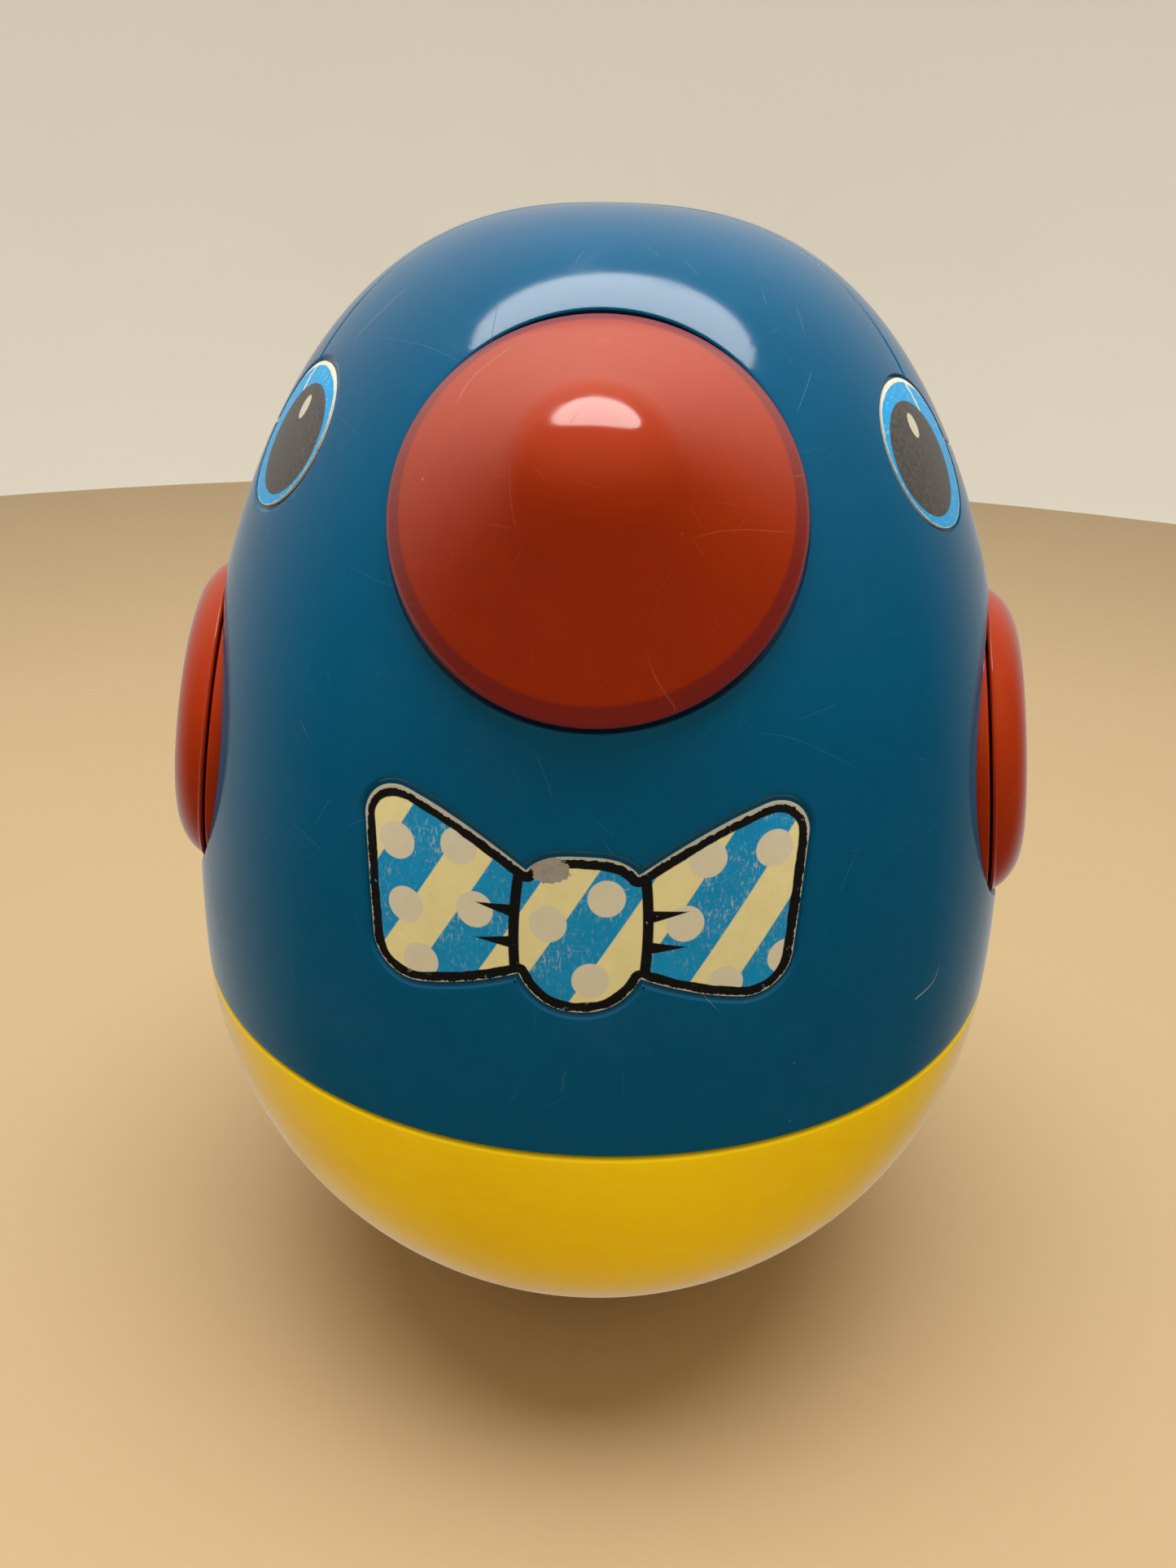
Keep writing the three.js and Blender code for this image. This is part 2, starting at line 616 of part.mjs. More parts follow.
function build() {
  const group = new THREE.Group();
  const put = (name, shape, finish) => group.add(mesh(name, shape, finish));
  const clear = GAP / 2;

  const shell = bodyShell();
  put('base_bowl', bowl(), 'yellow');
  put('front_shell', shell.subtract(rearRegion(-clear)), 'teal');
  put('rear_shell', shell.intersect(rearRegion(clear)), 'teal');

  put('beak', onSeat(beakSeat, geometryOf(beak())), 'orange');
  put('beak_retainer', onSeat(beakSeat, retainer(beakSeat)), 'steel');
  for (const [word, side] of [['left', 1], ['right', -1]]) {
    const seat = flipperSeat(side);
    put(`${word}_flipper`, onSeat(seat, flipperDisc()), 'orange');
    put(`${word}_flipper_back`, onSeat(seat, flipperBack(seat)), 'orange');
    put(`${word}_flipper_retainer`, onSeat(seat, retainer(seat)), 'steel');
    const eye = skin(LABEL_SINK, LABEL_SINK + LABEL_T).intersect(eyePrism(side, 0));
    put(`${word}_eye_label`, eye, 'label');
  }
  put('bow_label', skin(LABEL_SINK, LABEL_SINK + LABEL_T).intersect(bowPrism(0)), 'label');

  put('ballast_weight', ballast(), 'iron');
  put('chime_base', chimeBase(), 'nylon');
  const baseTop = BASE_LOW + BASE_T + GAP;
  ringPoints(3, BOSS_RING, 90).forEach(([x, y], i) => {
    put(`clamp_screw_${i + 1}`, screw(x, y, baseTop, 9), 'steel');
  });
  put('chime_block', chimeBlock(), 'zinc');
  put('block_screw', screw(0, 0, BLOCK_LOW + BLOCK_T + GAP, 11.4), 'steel');
  ringPoints(ROD_COUNT, ROD_RING, 0).forEach(([x, y], i) => {
    const rod = pinShape(ROD_R, BLOCK_LOW + 1.5, ROD_TOP_SHORT + ROD_TOP_STEP * i, 10, 0.3);
    put(`chime_rod_${i + 1}`, rod.translate(x, y, 0), 'steel');
  });
  put('striker_frame', strikerFrame(), 'nylon');
  for (const [i, side] of [[1, -1], [2, 1]]) {
    put(`frame_screw_${i}`, screw(side * 28.6, 7.6, BLOCK_LOW + 2.4 + GAP, 6), 'steel');
  }
  put('hanger_pin', headedPin(7.4).rotateY(Math.PI / 2).translate(0, 0, HANGER_Z), 'steel');
  put('hanger_link', hangerLink(), 'steel');
  put('striker_pin', headedPin(7.4).rotateX(Math.PI / 2).translate(0, 0, STRIKER_Z), 'steel');
  put('striker_rod', strikerRod(), 'steel');
  put('striker_ball', strikerBall(), 'beech');
  return group;
}

export default build();
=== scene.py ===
"""Looks for the roly-poly chime toy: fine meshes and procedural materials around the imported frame.

Lengths in this file are millimetres in the toy's own frame (+Z up, the face along -Y, origin at the
centre of the flat it stands on). Meshes are scaled to metres when they are made.
"""

import math

import bmesh
import bpy
import numpy as np
from mathutils import Matrix, Vector


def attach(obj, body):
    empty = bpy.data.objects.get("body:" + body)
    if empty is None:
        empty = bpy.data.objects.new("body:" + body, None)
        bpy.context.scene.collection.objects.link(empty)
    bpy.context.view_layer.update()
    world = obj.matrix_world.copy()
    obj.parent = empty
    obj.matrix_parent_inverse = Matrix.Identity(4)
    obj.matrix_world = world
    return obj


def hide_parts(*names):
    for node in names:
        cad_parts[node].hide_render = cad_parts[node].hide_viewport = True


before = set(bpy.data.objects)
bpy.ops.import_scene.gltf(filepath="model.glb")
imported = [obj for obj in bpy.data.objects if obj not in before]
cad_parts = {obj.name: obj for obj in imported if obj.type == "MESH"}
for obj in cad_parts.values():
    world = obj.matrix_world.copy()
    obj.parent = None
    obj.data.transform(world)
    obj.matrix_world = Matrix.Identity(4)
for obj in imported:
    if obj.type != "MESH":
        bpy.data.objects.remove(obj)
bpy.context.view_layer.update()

MM = 0.001
GAP = 0.3  # clearance between pieces that touch

# ---------------------------------------------------------------- sizes, as the CAD has them
BODY_R = 50.1
FLAT_R = 4.0
SEAM_Z = math.sqrt(BODY_R ** 2 - FLAT_R ** 2)
DOME_H = 83.1
DOME_P = 1.92
DOME_Q = 2.6
WALL = 2.4
SPIGOT_H = 4.0
SPIGOT_CLEAR = 0.6
SPIGOT_T = 1.6
RIM_ROUND = 0.5
BOSS_RING = 29.0  # circle that the bowl's screw bosses stand on
BOSS_R = 4.0
BOSS_TOP = 20.3
BOSS_BORE = 1.3

BEAK_Z = 87.0
BEAK_RISE = 30.0
BEAK_OUT = 39.2
BEAK_R = 18.1
BEAK_H = 18.0
BEAK_TIP_R = 9.0
BEAK_FOOT_R = 2.0
BEAK_WALL = 1.8

FLIPPER_Z = 70.6
FLIPPER_RISE = 9.5
FLIPPER_TURN = 11.4
FLIPPER_OUT = 44.1
FLIPPER_R = 18.0
FLIPPER_BACK_T = 1.7
FLIPPER_T = 3.8
FLIPPER_EDGE = 6.8  # width of the rounded edge
FLIPPER_DROP = 5.4  # depth of the rounded edge
FLIPPER_FROM = 22.0  # degrees up the rounded edge where it starts
FLIPPER_CROWN = 0.45

POCKET_CLEAR = 0.3
POCKET_FLOOR_T = 2.2
POCKET_PAD = 2.3
STEM_R = 4.3
RETAINER_T = 1.6

EYE_TURN = 58.9
EYE_Z = 111.7
EYE_R = 7.6
EYE_RISE = 28.0
LABEL_T = 0.25
LABEL_SINK = 0.05
RECESS = LABEL_SINK + LABEL_T + 0.03
RECESS_MARGIN = 0.3  # flat floor of a recess past its label
RECESS_SLOPE = 0.5  # width of the soft edge around a recess

BOW_Z = 73.5
KNOT_RX = 6.2
KNOT_RZ = 7.3
KNOT_TOP_POWER = 3
KNOT_LOW_POWER = 2.2
WING_TOP = (16.75, 81.9)
WING_TOP_R = 3.2
WING_LOW = (15.3, 71.1)
WING_LOW_R = 4.0
WING_ROOT_X = 4.0  # the wings start inside the knot
WING_ROOT_HIGH = 78.6
WING_ROOT_LOW = 70.2
WING_ABOVE = (10.5, 83.3)  # control point of the upper edge
WING_BELOW = (9.8, 67.9)  # control point of the lower edge
WING_FOOT = (14.4, 67.2)  # where the lower edge meets its rounded corner

PARTING_Y = 11.0
PARTING_TURN_Z = 96.0
PARTING_EYE = (-17.5, 112.6)
PARTING_CROWN = (-4.4, 135.0)
# Reach of the region behind the joint, past the body on every side.
REGION_X = 80
REGION_Y = 80
REGION_LOW = 40
REGION_HIGH = 150

EDGE_ROUND = 0.3  # rounding of the shells' edges at joints and pockets

# Fineness of the visible meshes.
AROUND = 288
UP = 110


# ---------------------------------------------------------------- geometry helpers
def direction(turn, rise):
    """Unit vector at an angle from the face (towards +X when positive) and a rise above level."""
    t, r = math.radians(turn), math.radians(rise)
    return Vector((math.sin(t) * math.cos(r), -math.cos(t) * math.cos(r), math.sin(r)))


def arc(cx, cz, radius, start, end, steps):
    """Points of an arc in a (radius, height) plane, both ends included; angles in degrees."""
    out = []
    for i in range(steps + 1):
        a = math.radians(start + (end - start) * i / steps)
        out.append((cx + radius * math.cos(a), cz + radius * math.sin(a)))
    return out


def body_radius(z, sink=0.0):
    up = max(0.0, (z - SEAM_Z) / (DOME_H - sink))
    return (BODY_R - sink) * max(0.0, 1 - up ** DOME_P) ** (1 / DOME_Q)


def in_scene(name, data):
    """New object that holds a mesh, light or camera."""
    obj = bpy.data.objects.new(name, data)
    bpy.context.scene.collection.objects.link(obj)
    return obj


def mesh_object(name, verts, faces):
    mesh = bpy.data.meshes.new(name)
    mesh.from_pydata([tuple(c * MM for c in v) for v in verts], [], faces)
    mesh.validate()
    return in_scene(name, mesh)


def revolved(name, points, segments=AROUND):
    """Closed solid of (radius, height) points about +Z, running up the outside."""
    verts, rings = [], []
    for r, z in points:
        if r < 1e-6:
            rings.append([len(verts)])
            verts.append((0.0, 0.0, z))
        else:
            rings.append(list(range(len(verts), len(verts) + segments)))
            for i in range(segments):
                a = 2 * math.pi * i / segments
                verts.append((r * math.cos(a), r * math.sin(a), z))
    faces = []
    pairs = list(zip(rings, rings[1:]))
    if len(rings[0]) > 1:
        pairs.append((rings[-1], rings[0]))
    for low, high in pairs:
        for i in range(segments):
            j = (i + 1) % segments
            if len(low) == 1 and len(high) == 1:
                continue
            if len(low) == 1:
                faces.append((low[0], high[j], high[i]))
            elif len(high) == 1:
                faces.append((low[i], low[j], high[0]))
            else:
                faces.append((low[i], low[j], high[j], high[i]))
    return mesh_object(name, verts, faces)


def prism(name, low, high):
    """Closed solid between two matching rings of points."""
    n = len(low)
    faces = [tuple(range(n)), tuple(range(n, 2 * n))]
    for i in range(n):
        j = (i + 1) % n
        faces.append((i, j, n + j, n + i))
    return face_outwards(mesh_object(name, low + high, faces))


def cylinder(name, radius, low, high, segments=96):
    return revolved(name, [(0, low), (radius, low), (radius, high), (0, high)], segments)


def aim(obj, origin, axis):
    """Turns a shape built along +Z so that it points along an axis, from an origin."""
    turn = Vector((0, 0, 1)).rotation_difference(axis).to_matrix().to_4x4()
    obj.data.transform(Matrix.Translation(Vector(origin) * MM) @ turn)
    return obj


def combine(target, tool, operation):
    """Exact join or cut of closed meshes; the tool is used up."""
    mod = target.modifiers.new("cut", "BOOLEAN")
    mod.operation = operation
    mod.solver = "MANIFOLD"
    mod.object = tool
    dg = bpy.context.evaluated_depsgraph_get()
    made = bpy.data.meshes.new_from_object(target.evaluated_get(dg))
    target.modifiers.clear()
    target.data = made
    bpy.data.objects.remove(tool)
    return target


def cut(target, tool):
    return combine(target, tool, "DIFFERENCE")


def join(target, tool):
    return combine(target, tool, "UNION")


def keep_inside(target, tool):
    return combine(target, tool, "INTERSECT")


def copy_of(obj, name):
    return in_scene(name, obj.data.copy())


def face_outwards(obj):
    bm = bmesh.new()
    bm.from_mesh(obj.data)
    bmesh.ops.recalc_face_normals(bm, faces=bm.faces)
    bm.to_mesh(obj.data)
    bm.free()
    return obj


def smooth(obj, angle=32.0):
    obj.data.shade_smooth()
    obj.data.set_sharp_from_angle(angle=math.radians(angle))
    return obj


# ---------------------------------------------------------------- body surface
def dome(name, sink, foot, segments=AROUND, steps=UP, foot_round=0.0):
    """Solid dome bounded by the body's surface sunk by a depth, cut level at its foot."""
    points = [(0, foot)]
    if foot_round:
        edge = body_radius(foot + foot_round, sink)
        points += arc(edge - foot_round, foot + foot_round, foot_round, -90, 0, 6)[:-1]
        foot = foot + foot_round
    points.append((body_radius(foot, sink), foot))
    start = math.asin(max(0.0, (foot - SEAM_Z) / (DOME_H - sink)) ** (DOME_P / 2))
    for i in range(1, steps):
        t = start + (math.pi / 2 - start) * i / steps
        z = SEAM_Z + (DOME_H - sink) * math.sin(t) ** (2 / DOME_P)
        points.append(((BODY_R - sink) * math.cos(t) ** (2 / DOME_Q), z))
    points.append((0, SEAM_Z + DOME_H - sink))
    return revolved(name, points, segments)


def depth_inside(p, sink=0.0):
    """How far a point lies inside the body's surface, measured level."""
    return body_radius(p.z, sink) - math.hypot(p.x, p.y)


def surface_normal(p):
    step = 0.01
    slope = (body_radius(p.z + step) - body_radius(p.z - step)) / (2 * step)
    flat = Vector((p.x, p.y, 0)).normalized()
    return Vector((flat.x, flat.y, -slope)).normalized()


def meet_surface(start, along, sink=0.0, low=0.0, high=70.0):
    """Point where a ray from inside leaves the body's surface."""
    for _ in range(48):
        mid = (low + high) / 2
        if depth_inside(start + along * mid, sink) > 0 and (start + along * mid).z < SEAM_Z + DOME_H:
            low = mid
        else:
            high = mid
    return start + along * low


def across(axis):
    """Two unit vectors square to an axis and to each other; the second one points mostly up."""
    side = Vector((0, 0, 1)).cross(axis).normalized()
    return side, axis.cross(side)


# ---------------------------------------------------------------- rounded edges
def groove_section(half_gap, radius, steps=6):
    """Space over two roundings that stand half_gap either side of a path."""
    right = arc(half_gap + radius, -radius, radius, 90, 180, steps)
    left = [(-x, z) for x, z in reversed(right)]
    return [(half_gap + radius, 1.0)] + right + left + [(-half_gap - radius, 1.0)]


def slope_section(depth, width, steps=10):
    """Space over a soft slope that rises outwards from a depth to the surface."""
    rise = []
    for i in range(steps + 1):
        t = 1 - i / steps
        rise.append((width * t, -depth * (1 - t * t * (3 - 2 * t))))
    return [(width, 1.0)] + rise + [(-0.15, -depth), (-0.15, 1.0)]


def edge_cutter(name, path, section, closed):
    """Tool swept along a path on the body's surface; the section is (right of the path, up)."""
    count = len(path)
    verts, faces = [], []
    for i, p in enumerate(path):
        before = path[i - 1] if closed or i else path[i]
        after = path[(i + 1) % count] if closed or i < count - 1 else path[i]
        along = (after - before).normalized()
        up = surface_normal(p)
        side = along.cross(up).normalized()
        verts += [p + side * x + up * z for x, z in section]
    n = len(section)
    spans = count if closed else count - 1
    for i in range(spans):
        a, b = i * n, ((i + 1) % count) * n
        for k in range(n):
            m = (k + 1) % n
            faces.append((a + k, a + m, b + m, b + k))
    if not closed:
        faces.append(tuple(reversed(range(n))))
        faces.append(tuple(range((count - 1) * n, count * n)))
    return face_outwards(mesh_object(name, verts, faces))


# ---------------------------------------------------------------- seats for beak and flippers
class Seat:
    def __init__(self, height, turn, rise, out, radius):
        self.origin = Vector((0, 0, height))
        self.axis = direction(turn, rise)
        self.out = out
        self.radius = radius
        self.floor = out - GAP
        self.stem_end = self.floor - POCKET_FLOOR_T - GAP - RETAINER_T - 1

    def place(self, obj):
        return aim(obj, self.origin, self.axis)

    def rim(self, radius, steps=180):
        """Loop on the body's surface at a radius from the seat's axis."""
        side, up = across(self.axis)
        loop = []
        for i in range(steps):
            a = 2 * math.pi * i / steps
            start = self.origin + (side * math.cos(a) + up * math.sin(a)) * radius
            loop.append(meet_surface(start, self.axis, low=15.0))
        return loop


beak_seat = Seat(BEAK_Z, 0, BEAK_RISE, BEAK_OUT, BEAK_R)
flipper_seats = {
    "left": Seat(FLIPPER_Z, 90 - FLIPPER_TURN, FLIPPER_RISE, FLIPPER_OUT, FLIPPER_R),
    "right": Seat(FLIPPER_Z, FLIPPER_TURN - 90, FLIPPER_RISE, FLIPPER_OUT, FLIPPER_R),
}


# ---------------------------------------------------------------- label outlines
def quad_curve(a, c, b, steps=24):
    out = []
    for i in range(steps + 1):
        t = i / steps
        out.append(tuple((1 - t) ** 2 * a[k] + 2 * t * (1 - t) * c[k] + t * t * b[k] for k in (0, 1)))
    return out


def bow_outline(grow, count=480):
    """Outline of the knot and both wings together, as polar radii about the bow's centre."""
    low_arc = arc(*WING_LOW, WING_LOW_R + grow, -96, -6, 18)
    top_arc = arc(*WING_TOP, WING_TOP_R + grow, 4, 114, 18)
    below = (WING_BELOW[0], WING_BELOW[1] - grow)
    foot = (WING_FOOT[0], WING_FOOT[1] - grow)
    above = (WING_ABOVE[0], WING_ABOVE[1] + grow)
    wing = quad_curve((WING_ROOT_X, WING_ROOT_LOW - grow), below, foot, 16)
    wing += low_arc + top_arc
    wing += quad_curve(top_arc[-1], above, (WING_ROOT_X, WING_ROOT_HIGH + grow), 16)[1:]
    points = np.array(wing) - np.array([0.0, BOW_Z])
    edge = np.roll(points, -1, axis=0) - points
    radii = []
    for i in range(count):
        a = 2 * math.pi * i / count
        ca, sa = abs(math.cos(a)), math.sin(a)
        power = KNOT_TOP_POWER if sa > 0 else KNOT_LOW_POWER
        level = (ca / (KNOT_RX + grow)) ** power + (abs(sa) / (KNOT_RZ + grow)) ** power
        best = level ** (-1 / power)
        cross = ca * edge[:, 1] - sa * edge[:, 0]
        ok = np.abs(cross) > 1e-9
        safe = np.where(ok, cross, 1.0)
        dist = (points[:, 0] * edge[:, 1] - points[:, 1] * edge[:, 0]) / safe
        share = (points[:, 0] * sa - points[:, 1] * ca) / safe
        hit = ok & (share >= 0) & (share <= 1) & (dist > 0)
        if hit.any():
            best = max(best, float(dist[hit].max()))
        radii.append((a, best))
    return [(r * math.cos(a), BOW_Z + r * math.sin(a)) for a, r in radii]


def on_bow(x, z, sink):
    """Point of the body's surface that the bow's plane point (x, z) falls on, along -Y."""
    r = body_radius(z, sink)
    return Vector((x, -math.sqrt(max(0.0, r * r - x * x)), z))


def eye_frame(side):
    """Origin, axis and the two label directions (towards the face, up) of an eye label."""
    origin = Vector((0, 0, EYE_Z - body_radius(EYE_Z) * math.tan(math.radians(EYE_RISE))))
    axis = direction(side * EYE_TURN, EYE_RISE)
    level, up = across(axis)
    forward = level if level.y < 0 else -level
    return origin, axis, forward, up


def on_eye(side, a, b, sink):
    origin, axis, forward, up = eye_frame(side)
    return meet_surface(origin + forward * a + up * b, axis, sink, low=15.0)


# ---------------------------------------------------------------- body shells
def parting_outline(clear):
    """Side view (Y, Z) of the region behind the joint between the shells."""
    eye_y, eye_z = PARTING_EYE
    crown_y, crown_z = PARTING_CROWN
    behind = PARTING_Y + clear
    outline = [(behind, REGION_LOW), (REGION_Y, REGION_LOW), (REGION_Y, REGION_HIGH)]
    outline += [(crown_y + clear + 5, REGION_HIGH), (crown_y + clear, crown_z)]
    start = (eye_y + clear * 1.2, eye_z + clear * 0.2)
    outline += quad_curve(start, (behind, eye_z - 3 + clear), (behind, PARTING_TURN_Z), 20)
    return outline


def rear_region(clear):
    """Prism across the toy over the parting outline."""
    outline = parting_outline(clear)
    return prism("rear_region", *([(x, y, z) for y, z in outline] for x in (-REGION_X, REGION_X)))


def parting_path():
    """Open path of the joint on the body's surface, from the foot on one side over the crown."""
    side_view = [(PARTING_Y, SEAM_Z + 0.2 + 0.6 * k) for k in range(75)]
    side_view += list(reversed(quad_curve(PARTING_EYE, (PARTING_Y, PARTING_EYE[1] - 3),
                                          (PARTING_Y, PARTING_TURN_Z), 40)))
    (y0, z0), (y1, z1) = PARTING_EYE, PARTING_CROWN
    side_view += [(y0 + (y1 - y0) * k / 120, z0 + (z1 - z0) * k / 120) for k in range(1, 121)]
    half = []
    for y, z in side_view:
        r = body_radius(z)
        if z >= SEAM_Z + DOME_H or r <= abs(y) + 0.02:
            break
        p = Vector((math.sqrt(r * r - y * y), y, z))
        if half and (p - half[-1]).length < 0.25:
            continue
        half.append(p)
    # Close the last stretch over the crown with points spaced across X.
    last = half[-1]
    slope = (z1 - z0) / (y1 - y0)
    steps = 14
    over = []
    for k in range(1, 2 * steps):
        x = last.x * (1 - k / steps)
        low, high = y0, y1
        for _ in range(40):
            y = (low + high) / 2
            z = z0 + (y - y0) * slope
            if body_radius(z) > math.hypot(x, y):
                low = y
            else:
                high = y
        over.append(Vector((x, low, z0 + (low - y0) * slope)))
    return half + over + [Vector((-p.x, p.y, p.z)) for p in reversed(half)]


def loop_on_bow(grow):
    return [on_bow(x, z, 0.0) for x, z in bow_outline(grow)]


def loop_on_eye(side, grow):
    out = []
    for i in range(120):
        a = 2 * math.pi * i / 120
        out.append(on_eye(side, (EYE_R + grow) * math.cos(a), (EYE_R + grow) * math.sin(a), 0.0))
    return out


def recess_tool():
    """Everything over the label recesses, down to the recess depth."""
    outline = bow_outline(RECESS_MARGIN)
    tool = prism("recess", *([(x, y, z) for x, z in outline] for y in (-62, -30)))
    for side in (-1, 1):
        origin, axis, _, _ = eye_frame(side)
        join(tool, aim(cylinder("eye_recess", EYE_R + RECESS_MARGIN, 25, 62, 96), origin, axis))
    return cut(tool, dome("sunk", RECESS, SEAM_Z + 4))


def body_shell():
    foot = SEAM_Z + GAP / 2
    outer = dome("outer", 0.0, foot, foot_round=EDGE_ROUND)
    shell = copy_of(outer, "shell")
    cut(shell, dome("inner", WALL, foot - 1, 96, 40))
    for seat in (beak_seat, flipper_seats["right"], flipper_seats["left"]):
        pocket = seat.radius + POCKET_CLEAR
        pad = seat.place(cylinder("pad", pocket + POCKET_PAD, seat.floor - POCKET_FLOOR_T, 80, 128))
        join(shell, keep_inside(pad, copy_of(outer, "outer_copy")))
        cut(shell, seat.place(cylinder("pocket", pocket, seat.floor, 80, 180)))
        cut(shell, seat.place(cylinder("stem_hole", STEM_R + GAP, 20, 60, 64)))
        cut(shell, edge_cutter("rim", seat.rim(pocket), groove_section(0.0, EDGE_ROUND), True))
    cut(shell, recess_tool())
    soft = slope_section(RECESS - 0.02, RECESS_SLOPE)
    for loop in (loop_on_bow(RECESS_MARGIN), loop_on_eye(-1, RECESS_MARGIN), loop_on_eye(1, RECESS_MARGIN)):
        cut(shell, edge_cutter("recess_edge", loop, soft, True))
    bpy.data.objects.remove(outer)
    return shell


def shells():
    shell = body_shell()
    cut(shell, edge_cutter("parting", parting_path(), groove_section(GAP / 2, 0.25), False))
    front = copy_of(shell, "front_body")
    cut(front, rear_region(-GAP / 2))
    rear = keep_inside(shell, rear_region(GAP / 2))
    rear.name = "rear_body"
    return smooth(front), smooth(rear)


# ---------------------------------------------------------------- bowl
def bowl():
    """Round bottom with its rounded rim, locating ring and three screw bosses."""
    rim_z = SEAM_Z - GAP / 2
    spigot_r = BODY_R - WALL - SPIGOT_CLEAR
    inner = BODY_R - WALL
    flat_angle = -math.degrees(math.acos(FLAT_R / BODY_R))
    edge_angle = math.degrees(math.asin((rim_z - RIM_ROUND - SEAM_Z) / BODY_R))
    inner_angle = -math.degrees(math.acos((spigot_r - SPIGOT_T) / inner))
    points = [(0, 0.0)]
    points += arc(0, SEAM_Z, BODY_R, flat_angle, edge_angle, 90)
    points += arc(points[-1][0] - RIM_ROUND, rim_z - RIM_ROUND, RIM_ROUND, 4, 90, 8)
    top = SEAM_Z + SPIGOT_H
    points += [(spigot_r, rim_z), (spigot_r, top - 0.6), (spigot_r - 0.6, top), (spigot_r - SPIGOT_T, top)]
    points += arc(0, SEAM_Z, inner, inner_angle, -90, 50)[:-1] + [(0, SEAM_Z - inner)]
    body = revolved("bowl", points)
    for k in range(3):
        a = math.radians(90 + 120 * k)
        place = Matrix.Translation(Vector((math.cos(a), math.sin(a), 0)) * BOSS_RING * MM)
        boss = cylinder("boss", BOSS_R, 4, BOSS_TOP, 48)
        boss.data.transform(place)
        ball = revolved("inside", arc(0, SEAM_Z, inner + WALL / 2, -90, 0, 40) + [(0, SEAM_Z)], 128)
        join(body, keep_inside(boss, ball))
        bore = cylinder("bore", BOSS_BORE, BOSS_TOP - 7, BOSS_TOP + 1, 32)
        bore.data.transform(place)
        cut(body, bore)
    return smooth(body)


# ---------------------------------------------------------------- beak and flippers
def beak():
    """Rounded cone on a stem, hollow behind."""
    tip = BEAK_OUT + BEAK_H - BEAK_TIP_R
    foot_r = BEAK_R - BEAK_FOOT_R
    rise = BEAK_H - BEAK_TIP_R - BEAK_FOOT_R
    flank = 2 * math.degrees(math.atan(foot_r / rise)) - 90
    outer = [(0, BEAK_OUT), (BEAK_R - 0.8, BEAK_OUT)]
    outer += arc(foot_r, BEAK_OUT + BEAK_FOOT_R, BEAK_FOOT_R, -40, flank, 16)
    outer += spread_line(outer[-1], arc(0, tip, BEAK_TIP_R, flank, 90, 2)[0], 14)
    outer += arc(0, tip, BEAK_TIP_R, flank, 90, 28)[:-1] + [(0, tip + BEAK_TIP_R)]
    inner = [(0, BEAK_OUT - 1), (foot_r, BEAK_OUT - 1)]
    inner += arc(foot_r, BEAK_OUT + BEAK_FOOT_R, BEAK_FOOT_R - BEAK_WALL, -40, flank, 3)
    inner += arc(0, tip, BEAK_TIP_R - BEAK_WALL, flank, 90, 12)[:-1]
    inner += [(0, tip + BEAK_TIP_R - BEAK_WALL)]
    body = revolved("beak_body", outer, 224)
    cut(body, revolved("beak_hollow", inner, 96))
    join(body, cylinder("beak_stem", STEM_R, beak_seat.stem_end, tip + BEAK_TIP_R - 1.5, 64))
    return smooth(beak_seat.place(body), 40)


def spread_line(a, b, steps):
    """Points strictly between two points of a profile."""
    return [(a[0] + (b[0] - a[0]) * i / steps, a[1] + (b[1] - a[1]) * i / steps) for i in range(1, steps)]


def flipper_disc(word, seat):
    """Disc with a wide rounded edge and a slight crown."""
    low = FLIPPER_OUT + FLIPPER_BACK_T + GAP
    top = low + FLIPPER_T
    points = [(0, low), (FLIPPER_R - 0.55, low)]
    points += arc(FLIPPER_R - 0.55, low + 0.3, 0.3, -90, 0, 5)[1:]
    for i in range(29):
        a = math.radians(FLIPPER_FROM + (90 - FLIPPER_FROM) * i / 28)
        r = FLIPPER_R - FLIPPER_EDGE * (1 - math.cos(a))
        points.append((r, top - FLIPPER_DROP * (1 - math.sin(a))))
    flat_r = FLIPPER_R - FLIPPER_EDGE
    for i in range(1, 10):
        r = flat_r * (1 - i / 10)
        points.append((r, top + FLIPPER_CROWN * (1 - (r / flat_r) ** 2)))
    points.append((0, top + FLIPPER_CROWN))
    return smooth(seat.place(revolved(f"{word}_flipper_disc", points, 224)), 40)


def flipper_back(word, seat):
    """Back plate with the stem the flipper turns on."""
    out, back = FLIPPER_OUT, FLIPPER_OUT + FLIPPER_BACK_T
    points = [(0, seat.stem_end), (STEM_R - 0.4, seat.stem_end), (STEM_R, seat.stem_end + 0.4)]
    points += [(STEM_R, out - 0.8)] + arc(STEM_R + 0.8, out - 0.8, 0.8, 180, 90, 6)[1:]
    points += [(FLIPPER_R - 0.5, out)]
    points += arc(FLIPPER_R - 0.4, out + 0.4, 0.4, -90, 0, 5)[1:]
    points += arc(FLIPPER_R - 0.3, back - 0.3, 0.3, 0, 90, 5) + [(0, back)]
    return smooth(seat.place(revolved(f"{word}_flipper_plate", points, 224)), 40)


